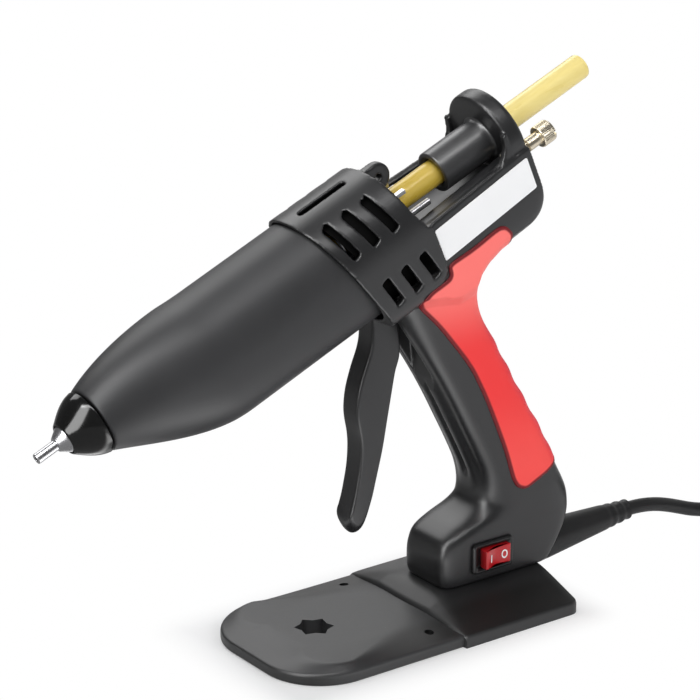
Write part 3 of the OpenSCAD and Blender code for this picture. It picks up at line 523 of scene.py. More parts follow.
def skin_faces(rings, closed_rows=False, caps=True):
    """Faces over rows of closed rings, with flat ends unless the last row joins the first."""
    rows, cols = rings.shape[:2]
    index = np.arange(rows * cols).reshape(rows, cols)
    below = index if closed_rows else index[:-1]
    above = np.roll(index, -1, 0) if closed_rows else index[1:]
    faces = np.stack([below, np.roll(below, -1, 1), np.roll(above, -1, 1), above], -1).reshape(-1, 4).tolist()
    if caps and not closed_rows:
        faces += [index[0].tolist(), index[-1].tolist()]
    return faces


def lofted(name, rings, material, closed_rows=False, caps=True, **dress):
    """A piece with a skin over rings, an array of rows by points by 3."""
    return laid_mesh(name, rings, skin_faces(rings, closed_rows, caps), material, **dress)


def blank(rings):
    """A working solid over rings, for joining and cutting."""
    return linked("blank", mesh_of("blank", rings, skin_faces(rings), False))


def settle(solid):
    """Applies a working solid's modifiers."""
    graph = bpy.context.evaluated_depsgraph_get()
    mesh = bpy.data.meshes.new_from_object(solid.evaluated_get(graph))
    solid.modifiers.clear()
    solid.data = mesh


def worked(solid, operation, tools):
    """Joins, cuts or trims a working solid by others, which are then gone."""
    for tool in tools:
        step = solid.modifiers.new("work", "BOOLEAN")
        step.operation = operation
        step.solver = "MANIFOLD"
        step.object = tool
        settle(solid)
        bpy.data.objects.remove(tool)
    return solid


def softened(solid, grid):
    """An even skin over a working solid with faces of about grid millimetres and eased edges."""
    skin = solid.modifiers.new("skin", "REMESH")
    skin.mode = "VOXEL"
    skin.voxel_size = grid * MM
    easing = solid.modifiers.new("ease", "SMOOTH")
    easing.factor = 0.5
    easing.iterations = 4
    settle(solid)
    solid.data.shade_smooth()
    return solid


def kept(solid, name, material, **dress):
    """A working solid as a piece of that name."""
    solid.name = name
    return dressed(solid, material, **dress)


# Shapes shared by the pieces

def from_barrel(s, y, t):
    """World places of barrel places: the barrel's frame stands AXIS_H over the origin, tilted up by TILT."""
    s, y, t = np.broadcast_arrays(np.asarray(s, float), np.asarray(y, float), np.asarray(t, float))
    x = s * math.cos(TILT) - t * math.sin(TILT)
    return np.stack([x, y, AXIS_H + s * math.sin(TILT) + t * math.cos(TILT)], -1)


def barrel_place(p):
    """Points (s, y, t) set in the world."""
    return from_barrel(p[..., 0], p[..., 1], p[..., 2])


def around(count):
    """Angles of a full turn."""
    return np.linspace(0, 2 * np.pi, count, endpoint=False)


def circle(mid, radius, count):
    """Points of a circle about mid."""
    a = around(count)
    return np.asarray(mid) + radius * np.stack([np.cos(a), np.sin(a)], 1)


def superellipse(angle, square):
    """Unit superellipse: |x|^square + |y|^square = 1, a circle at 2 and a rounded box above."""
    c, s = np.cos(angle), np.sin(angle)
    return np.sign(c) * np.abs(c) ** (2 / square), np.sign(s) * np.abs(s) ** (2 / square)


def ramp(x, low, high):
    """0 at low, 1 at high, a straight line between."""
    return np.clip((x - low) / (high - low), 0, 1)


def ease(f):
    """Smooth step from 0 to 1."""
    g = np.clip(f, 0.0, 1.0)
    return g * g * (3 - 2 * g)


def bump(x, mid, width):
    """A bell of height 1: e^-((x - mid) / width)^2."""
    return np.exp(-((x - mid) / width) ** 2)


def on_line(x, points):
    """Height at x of a line through (x, height) points."""
    return np.interp(x, *np.transpose(points))


def eased(x, xs, ys):
    """Smooth interpolation: cubic pieces whose slopes are the mean of the neighbouring chords."""
    chord = np.diff(ys) / np.diff(xs)
    slope = np.concatenate([chord[:1], (chord[1:] + chord[:-1]) / 2, chord[-1:]])
    k = np.clip(np.searchsorted(xs, x) - 1, 0, len(xs) - 2)
    h = xs[k + 1] - xs[k]
    f = (x - xs[k]) / h
    ends = ys[k] * (1 + 2 * f) * (1 - f) ** 2 + ys[k + 1] * f * f * (3 - 2 * f)
    return ends + h * f * (1 - f) * (slope[k] * (1 - f) - slope[k + 1] * f)


def turned(profile, count, y=0.0, t=0.0):
    """Rings of a profile of (s, radius) points, turned about a line along s at (y, t)."""
    s, r = np.asarray(profile, float).T
    a = around(count)
    return from_barrel(s[:, None], y + r[:, None] * np.cos(a), t + r[:, None] * np.sin(a))


def along_x(x, half_y, half_z, place, square=2.0, count=64):
    """Superellipse rings along X from place, with half sizes for each x."""
    c, d = superellipse(around(count), square)
    return np.stack(np.broadcast_arrays(place[0] + x, place[1] + c * half_y, place[2] + d * half_z), -1)


def rounded_path(points, radii, steps=6):
    """A profile through the points with each inner corner replaced by an arc-like bend of that radius."""
    p = [np.asarray(q, float) for q in points]
    f = np.linspace(0, 1, steps + 1)[:, None]
    out = [p[0]]
    for before, corner, after, r in zip(p, p[1:], p[2:], radii):
        back = before - corner
        ahead = after - corner
        a = corner + back * min(0.5, r / np.linalg.norm(back))
        b = corner + ahead * min(0.5, r / np.linalg.norm(ahead))
        out += list((1 - f) ** 2 * a + 2 * f * (1 - f) * corner + f ** 2 * b)
    return np.array([*out, p[-1]])


def closed_curve(points, per_side):
    """A closed Catmull-Rom curve through the points."""
    b = np.asarray(points, float)[:, None]
    a, c, d = (np.roll(b, k, 0) for k in (1, -1, -2))
    f = np.arange(per_side)[:, None] / per_side
    curve = b + 0.5 * f * (c - a + f * (2 * a - 5 * b + 4 * c - d + f * (3 * (b - c) + d - a)))
    return curve.reshape(-1, 2)


def rounded_box(half_u, half_v, radius, steps=8):
    """Outline of a rectangle with round corners, counter-clockwise."""
    turn = np.linspace(0, np.pi / 2, steps + 1)
    corners = []
    for k, (su, sv) in enumerate([(1, 1), (-1, 1), (-1, -1), (1, -1)]):
        mid = np.array([su * (half_u - radius), sv * (half_v - radius)])
        a = turn + k * np.pi / 2
        corners.append(mid + radius * np.stack([np.cos(a), np.sin(a)], 1))
    return np.vstack(corners)


def shrunk(outline, inset):
    """A closed counter-clockwise outline moved inward along its corner normals."""
    ahead = np.roll(outline, -1, 0) - np.roll(outline, 1, 0)
    inward = np.stack([-ahead[:, 1], ahead[:, 0]], 1) / np.linalg.norm(ahead, axis=1, keepdims=True)
    return outline + inset * inward


def prism(plan, heights):
    """Rows of (x, y) points at each of the heights."""
    return np.stack([np.insert(np.asarray(plan, float), 2, h, axis=1) for h in heights])


def side_prism(outline, half):
    """Rows of (x, z) points at both sides, half the width from the middle."""
    return np.stack([np.insert(np.asarray(outline, float), 1, y, axis=1) for y in (-half, half)])


def plate_rows(outline, low, high, radius, between=0):
    """Rows of a plate: for a quarter turn a at each face, the outline shrinks by radius * (1 - cos a)."""
    a = np.linspace(0, np.pi / 2, 6)
    rows = [(radius * (1 - math.cos(k)), low + radius * (1 - math.sin(k))) for k in a[::-1]]
    rows += [(0.0, h) for h in np.linspace(low + radius, high - radius, between + 2)[1:-1]]
    rows += [(radius * (1 - math.cos(k)), high - radius * (1 - math.sin(k))) for k in a]
    return np.concatenate([prism(shrunk(outline, inset), [h]) for inset, h in rows])


def block(low, high, place=barrel_place):
    """A working box between two corners, set in place by a function of points."""
    plan = [(low[0], low[1]), (high[0], low[1]), (high[0], high[1]), (low[0], high[1])]
    return blank(place(prism(plan, (low[2], high[2]))))


def rod(s0, s1, radius, y=0.0, t=0.0):
    """A working rod along s."""
    return blank(turned([(s0, radius), (s1, radius)], 64, y, t))


# Nose cone, cap and nozzle

def barrel_ring(s, angle, margin=0.0):
    """Places (s, y, t) on the barrel: u, v, w run from 0 to 1 over 54, 62 and 66 mm behind the nose.

    Half sizes grow by 1 - (1 - u)^1.7, the lower one by 1 - (1 - v)^1.75; the middle sinks by sin(90 w)^1.5.
    """
    u, v, w = (ramp(s, NOSE_S, NOSE_S + k) for k in (54.0, 62.0, 66.0))
    grown = 1 - (1 - u) ** 1.7
    lower = (BARREL_H - NOSE_R) * (1 - (1 - v) ** 1.75)
    tall = np.where(np.sin(angle) < 0, lower, (BARREL_TOP - NOSE_R) * grown)
    c, d = superellipse(angle, 2 + (BARREL_SQUARE - 2) * u)
    y = c * (NOSE_R + (BARREL_W - NOSE_R) * grown + margin)
    t = d * (NOSE_R + tall + margin) - BARREL_DROP * np.sin(np.pi / 2 * w) ** 1.5
    return np.stack(np.broadcast_arrays(s, y, t), -1)


def slant(t, back):
    """Where the collar's slanted front plane, moved back along s, meets height t."""
    return COLLAR_FRONT + back + COLLAR_LEAN * (COLLAR_TOP - t)


def make_nose_cone(finish):
    """Rows from the cap to a slanted rear edge under the collar; a rounded front edge leaves a fine joint."""
    a = around(160)
    rear = slant(barrel_ring(np.zeros_like(a), a)[:, 2], 5.0)
    f = np.concatenate([[0, 0, 0.0012, 0.003, 0.006], np.linspace(0.012, 1, 90)])[:, None]
    inset = np.concatenate([[-3.0, -0.8, -0.35, -0.1, 0.0], np.zeros(90)])[:, None]
    rings = barrel_place(barrel_ring(NOSE_S + f * (rear - NOSE_S), a, inset))
    lofted("nose_cone_skin", rings, finish, node=("nose_cone",), slot="cone")


def nose_turned(profile, count):
    """A turned profile that tips up a little: 0.8 mm at the cap's front."""
    return turned(profile, count, 0.0, 0.8 * np.clip((NOSE_S - profile[:, :1]) / CAP_LEN, 0, 1.2))


def make_nose_cap(finish):
    """Radius mouth + (nose - mouth) * sin(90 f) along the cap, with rounded rims."""
    f = np.linspace(0, 1, 28)[:-1]
    front = NOSE_S - CAP_LEN
    rear = NOSE_S - 0.9
    skin = np.column_stack([front + CAP_LEN * f, MOUTH_R + (NOSE_R - MOUTH_R) * np.sin(np.pi / 2 * f)])
    skin[-1, 0] = rear - 0.6
    lip = [(front + 3.0, MOUTH_R - 0.9), (front + 0.4, MOUTH_R - 0.9), (front - 0.25, MOUTH_R - 0.55)]
    rim = [(rear - 0.35, NOSE_R), (rear, NOSE_R - 0.45), (rear + 0.3, NOSE_R - 2.6)]
    rings = nose_turned(np.vstack([lip, skin, rim]), 128)
    lofted("nose_cap_skin", rings, finish, node=("nose_cap",), slot="cap", caps=False)


def make_nozzle(finish):
    """Tip tube with a bore, a small step and the cone that sits in the cap's mouth."""
    front = NOSE_S - CAP_LEN
    tip = front - TIP_LEN
    corners = [
        (tip + 5.0, TIP_BORE), (tip, TIP_BORE), (tip, TIP_R), (front - 4.6, TIP_R),
        (front - 4.4, TIP_R + 0.9), (front, MOUTH_R - 1.1), (front + 4.0, MOUTH_R - 1.1),
    ]
    profile = rounded_path(corners, [0.15, 0.5, 0.2, 0.3, 0.8])
    lofted("nozzle_skin", nose_turned(profile, 64), finish, node=("nozzle",), slot="steel")


# Casing: collar, body and flange in one skin, handle in another

def body_half_width(s):
    """Half width of the body, narrowing evenly from the collar to the flange."""
    return BODY_W - (BODY_W - TAIL_W) * np.clip(s, 0, FLANGE_REAR) / FLANGE_REAR


def body_low(s):
    """Underside of the body: a quarter round at the rear, then a line of places forward to the collar."""
    places = [
        (-25, -38), (-15, -44), (5, -56), (14, -56), (17, -53.5), (20.5, -49.9), (27, -46.6), (36, -44.5),
        (TAIL_S, -44),
    ]
    tail = -32 - 12 * np.sqrt(np.clip(1 - ((s - TAIL_S) / TAIL_REACH) ** 2, 0, None))
    return np.where(s > TAIL_S, tail, on_line(s, places))


def body_rings(grow=0.0):
    """Superellipse sections along s, from the underside to over the rim, narrower in the lowest 16 mm."""
    tail = TAIL_S + TAIL_REACH * np.sin(np.linspace(0, np.pi / 2, 24))
    s = np.concatenate([np.linspace(-25, 53, 96), tail])[:, None]
    low = body_low(s) - grow
    high = 10.0
    c, d = superellipse(around(112), 6.0)
    t = (low + high) / 2 + d * (high - low) / 2
    taper = on_line(t - body_low(s), [(0, 20), (1.5, 20.6), (4.5, 22.4), (10, 25.4), (16, 60)])
    y = c * (np.minimum(body_half_width(s), taper) + grow)
    return from_barrel(s + grow * (s > 60), y, t)


def collar_rings(margin, top, back, edge, square):
    """The barrel's section grown by margin and, above, by top; squarer below.

    It runs from the slanted front plane, moved by back, to a rear edge of (t, s) places.
    """
    a = around(200)
    under = np.sin(a) < -1e-9
    c, d = superellipse(a, np.where(under, square, BARREL_SQUARE))
    y = c * (BARREL_W + margin)
    t = d * np.where(under, BARREL_H + 0.55 * margin, BARREL_TOP + top) - BARREL_DROP
    front = slant(t, back)
    f = np.linspace(0, 1, 24)[:, None]
    return from_barrel(front + f * (on_line(t, edge) - front), y, t)


def collar_wall():
    """The collar's outside; its rear edge is read from top to side, and lower down it runs into the body."""
    edge = [(-36, -6), (-28, 2.8), (-12, 3.4), (-6, 2.6), (0.6, -2.6), (8, -4), (19, -6), (26, -6.5)]
    return blank(collar_rings(COLLAR_OUT, 1.9, 0.0, edge, 5.5))


def collar_space():
    """The collar's inside, with a straight rear edge."""
    return blank(collar_rings(COLLAR_IN, 0.3, -12.0, [(0, -1)], 3.0))


def vent(s, t, length, side):
    """A slot through the collar's wall on one side, leaning with the collar's front edge."""

    def place(p):
        ds, y, dt = np.moveaxis(p, -1, 0)
        back = s + ds * math.cos(VENT_LEAN) - dt * math.sin(VENT_LEAN)
        return from_barrel(back, side * y, t + ds * math.sin(VENT_LEAN) + dt * math.cos(VENT_LEAN))

    return block((-VENT_HALF, 9.0, -length), (VENT_HALF, 40.0, 0.0), place)


def vents():
    """Two rows of three slots on each side of the collar, and one along its top."""
    slots = []
    for first, pitch, top, length in ((-41, 11.3, 19.8, 16.2), (-29.5, 10.9, -12.8, 15.2)):
        slots += [vent(first + pitch * k, top, length, side) for k in range(3) for side in (-1, 1)]
    return [*slots, block((-42.5, -1.6, 0), (-16, 1.6, 40))]


def trough():
    """The open space of the body between its walls."""
    s = np.array([-3.0, FLANGE_S])
    y = body_half_width(s) - WALL
    plan = [(s[0], -y[0]), (s[1], -y[1]), (s[1], y[1]), (s[0], y[0])]
    return blank(barrel_place(prism(plan, (TROUGH_T, 40))))


def wall_strip(s0, s1, out, thick, low, high, side):
    """A bar along one wall of the body, starting out inside its face and thick inward."""
    y0, y1 = side * (body_half_width(np.array([s0, s1])) - out)
    inward = side * thick
    plan = [(s0, y0), (s1, y1), (s1, y1 - inward), (s0, y0 - inward)]
    return blank(barrel_place(prism(plan, (low, high))))


def ledges():
    """A ledge inside the near wall, a lip on each rim and a curved corner from each rim up to the flange."""
    ledge = wall_strip(1.0, FLANGE_S + 1, 1.0, 9.8, TROUGH_T - 1, RIM_T - 0.4, -1)
    lips = [wall_strip(4.0, 52, 0.4, 1.4, RIM_T - 1, RIM_T + 0.7, side) for side in (-1, 1)]
    outline = [
        (42, -6), (46, -4.9), (49, -4), (51.5, -2.4), (53.4, 0), (54.6, 3), (55.2, 7), (57, 8), (57, -6),
    ]
    plate = side_prism(outline, 1.65)
    corners = [blank(barrel_place(plate + [0, side * 20.25, 0])) for side in (-1, 1)]
    return [ledge, *lips, *corners]


def hanging_eye():
    """The eyelet's rounded disc and the web that joins it to the collar."""
    rows = plate_rows(circle(EYE, EYE_R, 40), -EYE_HALF, EYE_HALF, 0.8)
    return [blank(barrel_place(rows[..., [0, 2, 1]])), block((-13, -EYE_HALF, 14.5), (-1, EYE_HALF, 22.6))]


def make_barrel_casing(finish):
    """Collar, body and flange joined, cut by the barrel space, trough, slots and holes, and eased."""
    body = worked(blank(body_rings()), "DIFFERENCE", [block((-2.6, -40, RIM_T), (70, 40, 40))])
    disc = [(FLANGE_S, 0.5), (FLANGE_S, FLANGE_R), (FLANGE_REAR, FLANGE_R), (FLANGE_REAR, 0.5)]
    flange = blank(turned(rounded_path(disc, [2.2, 2.6]), 128))
    trigger_way = block((-24, -7.5, -60), (12, 7.5, -30))
    eye_bore = blank(barrel_place(side_prism(circle(EYE, EYE_BORE, 32), 6.0)))
    guide_hole = rod(FLANGE_S - 1, FLANGE_REAR + 1, GUIDE_R - 0.1)
    screw_hole = rod(FLANGE_S - 1, FLANGE_REAR + 1, 4.1, ADJUSTER_Y, ADJUSTER_T)
    solid = worked(collar_wall(), "UNION", [body, flange])
    solid = worked(solid, "DIFFERENCE", [collar_space(), trough(), trigger_way, *vents()])
    solid = worked(solid, "UNION", [*hanging_eye(), *ledges()])
    solid = worked(solid, "DIFFERENCE", [guide_hole, screw_hole, eye_bore])
    kept(softened(solid, SHELL_GRID), "barrel_casing", finish, node=("left_shell",), slot="casing")


def make_vent_shade(finish):
    """A near-black arch, 1 mm thick, inside the collar's wall and over the feed: painted shade seen through
    the vents.
    """
    c, d = superellipse(np.radians(np.linspace(-48, 228, 120)), BARREL_SQUARE)
    rings = []
    for margin, back in ((-0.7, 8.0), (-0.7, 46.0), (-1.7, 46.0), (-1.7, 8.0)):
        t = d * (BARREL_TOP + margin) - BARREL_DROP
        rings.append(from_barrel(np.minimum(slant(t, back), -7.5), c * (BARREL_W + margin), t))
    lofted("vent_shade_sheet", np.stack(rings, 1), finish)


# Height over the saddle, front, rear, half width and squareness of the handle
HANDLE = np.array([
    [0, 22.8, 86.6, 16, 8], [3, 21.7, 88.4, 16.4, 8], [9, 21.3, 92.4, 16.6, 8],
    [17, 21.8, 97, 16.8, 7], [23, 24.5, 99.4, 17, 5.6], [27, 31, 100.2, 17, 4.6],
    [31, 40.6, 100.2, 17, 3.9], [35, 45.8, 99.4, 17, 3.4], [39, 47.4, 97.7, 17, 3.2],
    [44, 47.2, 95.3, 16.8, 3], [51, 45.3, 91.9, 16.6, 2.9], [62, 40.3, 86.2, 16.5, 2.8],
    [76, 33.1, 78, 16.4, 2.8], [90, 25.8, 69.6, 16.4, 2.8], [104, 17.8, 61.5, 16.6, 2.8],
    [118, 9, 53.4, 17.2, 2.8], [128, 2.4, 47, 18.4, 2.8], [136, -2.8, 43.6, 19.8, 2.8],
    [142, -6.6, 42.4, 21, 2.8], [148, -9, 42.2, 22.3, 3], [153, -9, 42.6, 23.4, 3],
])
HANDLE_H = HANDLE[-1, 0]


def handle_rings(grow=0.0, flutes=0.0, waves=0.0):
    """Superellipse sections up the handle, squarer in front.

    Flutes are the depth of a groove and two hollows in front, waves that of the ripples down the back.
    """
    h = np.linspace(0, HANDLE_H, 170)
    front, rear, half, square = (eased(h, HANDLE[:, 0], HANDLE[:, k])[:, None] for k in range(1, 5))
    h = h[:, None]
    a = around(168)
    c, d = superellipse(a, np.where(np.cos(a) < 0, np.maximum(square, 3.4), square))
    x = (front + rear) / 2 + c * ((rear - front) / 2 + grow)
    y = d * (half + grow)
    dents = ramp(h, 47, 50) * bump(y, 0.0, 1.3) + ramp(h, 40, 54) * bump(np.abs(y), 8.8, 3.0)
    on_back = ramp(c, 0.45, 0.85) * ramp(h, 50, 58) * ramp(-h, -122, -114)
    ripple = np.cos(2 * np.pi * (h - 54) / 15.6) * on_back
    x = x + flutes * ramp(-c, -0.05, 0.45) * dents + waves * ripple
    return np.stack(np.broadcast_arrays(x, y, SADDLE_H + h), -1)


GRIP_OUTLINE = [
    (-0.6, 148.2), (2.6, 143.6), (15.6, 131.2), (34, 109.4), (43, 92.8), (49, 79.3), (55.4, 63.8),
    (58.4, 54.8), (61, 46.6), (63.8, 42.4), (69, 40.4), (77.2, 44), (100, 52), (115, 52), (115, 118),
    (80, 140), (58, 154), (56, 161.5), (53.4, 167.6), (52.4, 171.4), (48.4, 175), (43.6, 175.4),
    (28.3, 168.6), (16.2, 164.8), (13.8, 162.8), (15.2, 158), (10.4, 155.7), (4, 153),
]


def grip_outline():
    """The grip in side view, as (x, z) places: the listed corners cut twice at a fifth of each side."""
    outline = np.array(GRIP_OUTLINE, float)
    for _ in range(2):
        ahead = np.roll(outline, -1, 0)
        outline = np.stack([0.8 * outline + 0.2 * ahead, 0.2 * outline + 0.8 * ahead], 1).reshape(-1, 2)
    return outline + [0.0, SADDLE_H]


def mark_grip(mesh):
    """Marks each point with two masks of painted shade: along the edges, 1 at the grip's outline and 0 at the
    band's width from it; back, 1 at the rear.
    """
    places = np.empty(3 * len(mesh.vertices))
    mesh.vertices.foreach_get("co", places)
    x, y, z = places.reshape(-1, 3).T / MM
    p = np.stack([x, z], 1)
    near = np.abs((z - AXIS_H) * math.cos(TILT) - x * math.sin(TILT) - GRIP_TOP)
    outline = grip_outline()
    for a, b in zip(outline, np.roll(outline, -1, 0)):
        f = np.clip(((p - a) @ (b - a)) / ((b - a) @ (b - a)), 0, 1)
        near = np.minimum(near, np.linalg.norm(p - a - f[:, None] * (b - a), axis=1))
    inside = eased(np.clip(z - SADDLE_H, 0, HANDLE_H), HANDLE[:, 0], HANDLE[:, 2]) - x
    marks = {"edge_shade": ramp(-near, -EDGE_SHADE_W, 0.0), "back": ramp(-inside, -9.0, 0.0) * ramp(-z, -150, -138)}
    for name, values in marks.items():
        mesh.attributes.new(name, "FLOAT", "POINT").data.foreach_set("value", values)


def trigger_slot():
    """The space that the trigger swings into: a side outline about its pin."""
    zone = [(-13, 10), (11, 10), (15, -6), (24, -22), (27.2, -46), (34, -72), (-40, -72), (-40, 10)]
    return blank(side_prism(PIVOT + zone, SLOT_HALF))


def make_handle(finish):
    """Handle and foot, with the slot that the trigger swings into cut at the top of its front."""
    solid = worked(blank(handle_rings(flutes=1.7)), "DIFFERENCE", [trigger_slot()])
    kept(softened(solid, 0.65), "handle_skin", finish, node=("right_shell",), slot="casing")


def make_grip(finish):
    """The grip's outline trimmed out of the handle and body forms, a little proud, with a wavy back."""
    above = block((-30, -40, GRIP_TOP), (70, 40, 60))
    solid = worked(blank(handle_rings(GRIP_PROUD, waves=0.4)), "UNION", [blank(body_rings(GRIP_PROUD))])
    solid = worked(solid, "INTERSECT", [blank(side_prism(grip_outline(), 45.0))])
    solid = softened(worked(solid, "DIFFERENCE", [above, blank(body_rings(-2.5)), trigger_slot()]), 0.6)
    mark_grip(solid.data)
    kept(solid, "soft_grip_skin", finish, node=("soft_grip",), slot="grip")


# Trigger's side outline about its pin
TRIGGER_OUTLINE = [
    (-6, 4), (-5.8, -16), (-6.8, -25), (-10.6, -35), (-13.4, -44), (-14.5, -52), (-14.2, -58), (-12.7, -66),
    (-12.3, -73), (-13, -82), (-14.9, -91.5), (-17, -100.5), (-18.3, -106), (-17.4, -110), (-14.4, -113),
    (-11.2, -112.4), (-8.6, -107.8), (-6.2, -99.4), (-3.3, -88), (0.2, -74.4), (2.9, -60.4), (5.2, -48.4),
    (7.2, -38.4), (9.6, -30), (9, -18), (6, 4),
]


def make_trigger(finish):
    """The trigger's side outline as a smooth closed curve, with rounded edges and a rounded lower end."""
    rows = plate_rows(closed_curve(TRIGGER_OUTLINE, 8), -TRIGGER_HALF, TRIGGER_HALF, 1.6, 9)
    x, z, y = np.moveaxis(rows, -1, 0)
    z = z + 4.5 * (y / TRIGGER_HALF) ** 2 * ease((-z - 92) / 20)
    places = np.stack([PIVOT[0] + x, y, PIVOT[1] + z], -1)
    lofted("trigger_skin", places, finish, body="trigger", node=("trigger",), slot="casing", crease=50)


# Stand

def tray_edge():
    """The tray's outline from above, with two round front corners, and its inward directions."""
    steps = 28
    turn = np.linspace(np.pi / 2, 3 * np.pi / 2, 2 * steps)
    ahead = np.stack([np.cos(turn), np.sin(turn)], 1)
    x = TRAY_CORNER - TRAY_REACH
    y = TRAY_W / 2 - TRAY_CORNER
    front = TRAY_CORNER * ahead + np.column_stack([np.full(2 * steps, x), np.repeat([y, -y], steps)])
    run = np.linspace(TRAY_END, x, 20)[:-1, None]
    far = np.hstack([run, 0 * run + TRAY_W / 2])
    near = far[::-1] * [1, -1]
    inward = np.vstack([0 * far + [0, -1], -ahead, 0 * near + [0, 1]])
    return np.vstack([far, front, near]), inward


def make_tray(finish):
    """Rows round the outline: foot, wall, rounded edge, slope and rounded brow; then the star and bolt holes.

    The slope is FRONT_SLOPE wide in front; along the sides it widens from 4 to 25 to meet the saddle's.
    """
    rows = []
    for place, way in zip(*tray_edge()):
        sideways = abs(way[1])
        wide = np.clip(21.5 + 0.37 * place[0], 4.0, 25.0) * sideways + FRONT_SLOPE * (1 - sideways)
        corners = [(0.8, 0.0), (0.0, 0.8), (0.0, EDGE_H), (wide, TRAY_TOP), (1.45 * wide + 1, TRAY_TOP)]
        path = rounded_path(corners, [0.6, 1.5, 0.42 * wide], 8)
        rows.append(np.column_stack([place + path[:, :1] * way, path[:, 1]]))
    point = np.arange(12)
    reach = np.where(point % 2, STAR_R, STAR_NOTCH)
    star = [STAR_X, 0.0] + reach[:, None] * circle((0.0, 0.0), 1.0, len(point))
    plans = [star, circle((0.0, -BENCH_Y), BENCH_R, 40), circle((0.0, BENCH_Y), BENCH_R, 40)]
    holes = [blank(prism(plan, (-1.0, 12.0))) for plan in plans]
    solid = worked(blank(np.stack(rows, 1)), "DIFFERENCE", holes)
    smoothed(solid.data, 30)
    kept(solid, "tray_skin", finish, node=("base_tray",), slot="stand_front")


def make_saddle(finish):
    """A height over the floor plan: the least of the pad's top, two side slopes and a front ramp.

    The least is taken softly, as -k log(sum of e^(-height / k)), which rounds the brows. The front edge is
    bowed and rises over the tray.
    """
    along = np.concatenate([np.linspace(0, 0.9, 100), 0.9 + 0.1 * np.sin(np.linspace(0, np.pi / 2, 25))[1:]])
    u, v = np.meshgrid(along, np.linspace(-1, 1, 150), indexing="ij")
    bow = 3.3 * v ** 2
    x = JOINT_X + u * (SADDLE_X - JOINT_X) + (1 - u) * bow
    turn = ramp(x, SADDLE_X - SADDLE_CORNER, SADDLE_X)
    half = SADDLE_W / 2 - SADDLE_CORNER * (1 - np.sqrt(1 - turn ** 2))
    y = v * half
    side = EDGE_H + (half - np.abs(y)) * (SADDLE_H - EDGE_H) / (SADDLE_W / 2 - PAD_W)
    tray = np.minimum(TRAY_TOP, EDGE_H + (TRAY_W / 2 - np.abs(y)) * (TRAY_TOP - EDGE_H) / 24.8)
    lip = 1.2 - 1.1 * np.clip(1 - u * 45, 0, 1) ** 2
    front = tray + lip + (x - JOINT_X - bow) * 0.6
    soft = 1.2
    heights = np.stack([np.full_like(x, SADDLE_H), side, front])
    z = np.minimum(-soft * np.log(np.exp(-heights / soft).sum(0)) + 0.05, SADDLE_H - 0.02)
    from_edge = np.minimum((1 - u) * 70, (1 - np.abs(v)) * 45)
    z = z - soft * (1 - ramp(from_edge, 0.0, soft)) ** 2
    index = np.arange(x.size).reshape(x.shape)
    quads = np.stack([index[:-1, :-1], index[1:, :-1], index[1:, 1:], index[:-1, 1:]], -1).reshape(-1, 4)
    edge = np.concatenate([index[0, :-1], index[:-1, -1], index[-1, :0:-1], index[:0:-1, 0]])
    beyond = np.roll(edge, -1)
    wall = np.stack([edge, beyond, beyond + x.size, edge + x.size], -1)
    faces = [*quads.tolist(), *wall.tolist(), (edge + x.size).tolist()]
    points = np.vstack([np.stack([x, y, height], -1).reshape(-1, 3) for height in (z, 0 * z)])
    laid_mesh("saddle_skin", points, faces, finish, node=("base_saddle",), slot="stand_rear", crease=34)


# Mains lead: free stretch and coil along the same route as the solids

def coil_route(steps):
    """Spiral in, climb half a turn, spiral out above it, rise a quarter turn and turn in: clockwise."""
    climb_end = COIL_TURNS + 0.5
    rise_start = 2 * COIL_TURNS + 0.5
    rise_end = rise_start + 0.25
    coil_end = rise_end + 5.0 / 12.0
    n = np.arange(int(round(coil_end * steps)) + 1) / steps
    quarter = COIL_PITCH / 4
    radius = np.select(
        [n < COIL_TURNS, n < climb_end, n < rise_end],
        [COIL_OUT - COIL_PITCH * n, COIL_IN - COIL_DIP * np.sin(2 * np.pi * (n - COIL_TURNS)),
         COIL_IN + COIL_PITCH * (n - climb_end)],
        COIL_OUT + quarter - (18.0 + quarter) * ease((n - rise_end) / (coil_end - rise_end)),
    )
    climb = COIL_PITCH * ease(2 * (n - COIL_TURNS))
    rise = (PLUG_Z - COIL_Z - COIL_PITCH) * ease(4 * (n - rise_start))
    a = COIL_START - 2 * np.pi * n
    x = COIL_MID[0] + radius * np.cos(a)
    y = COIL_MID[1] + radius * np.sin(a)
    turns = np.stack([x, y, COIL_Z + climb + rise], 1)
    return np.vstack([turns, turns[-1:] + [CORD_D, 0, 0]])


def smooth_route(points, spacing):
    """A centripetal Catmull-Rom curve through the points, sampled evenly at about that spacing."""
    p = np.vstack([2 * points[0] - points[1], points, 2 * points[-1] - points[-2]])
    t = np.concatenate([[0], np.cumsum(np.linalg.norm(np.diff(p, axis=0), axis=1) ** 0.5)])

    def between(first, second, low, high, u):
        return ((t[high] - u) * first + (u - t[low]) * second) / (t[high] - t[low])

    fine = []
    for k in range(1, len(p) - 2):
        u = np.linspace(t[k], t[k + 1], 24, endpoint=False)[:, None]
        a, b, c = (between(p[j], p[j + 1], j, j + 1, u) for j in (k - 1, k, k + 1))
        early = between(a, b, k - 1, k + 1, u)
        late = between(b, c, k, k + 2, u)
        fine.append(between(early, late, k, k + 1, u))
    fine = np.vstack([*fine, points[-1:]])
    run = np.concatenate([[0], np.cumsum(np.linalg.norm(np.diff(fine, axis=0), axis=1))])
    even = np.linspace(0, run[-1], max(2, int(round(run[-1] / spacing)) + 1))
    return np.stack([np.interp(even, run, fine[:, k]) for k in range(3)], 1)


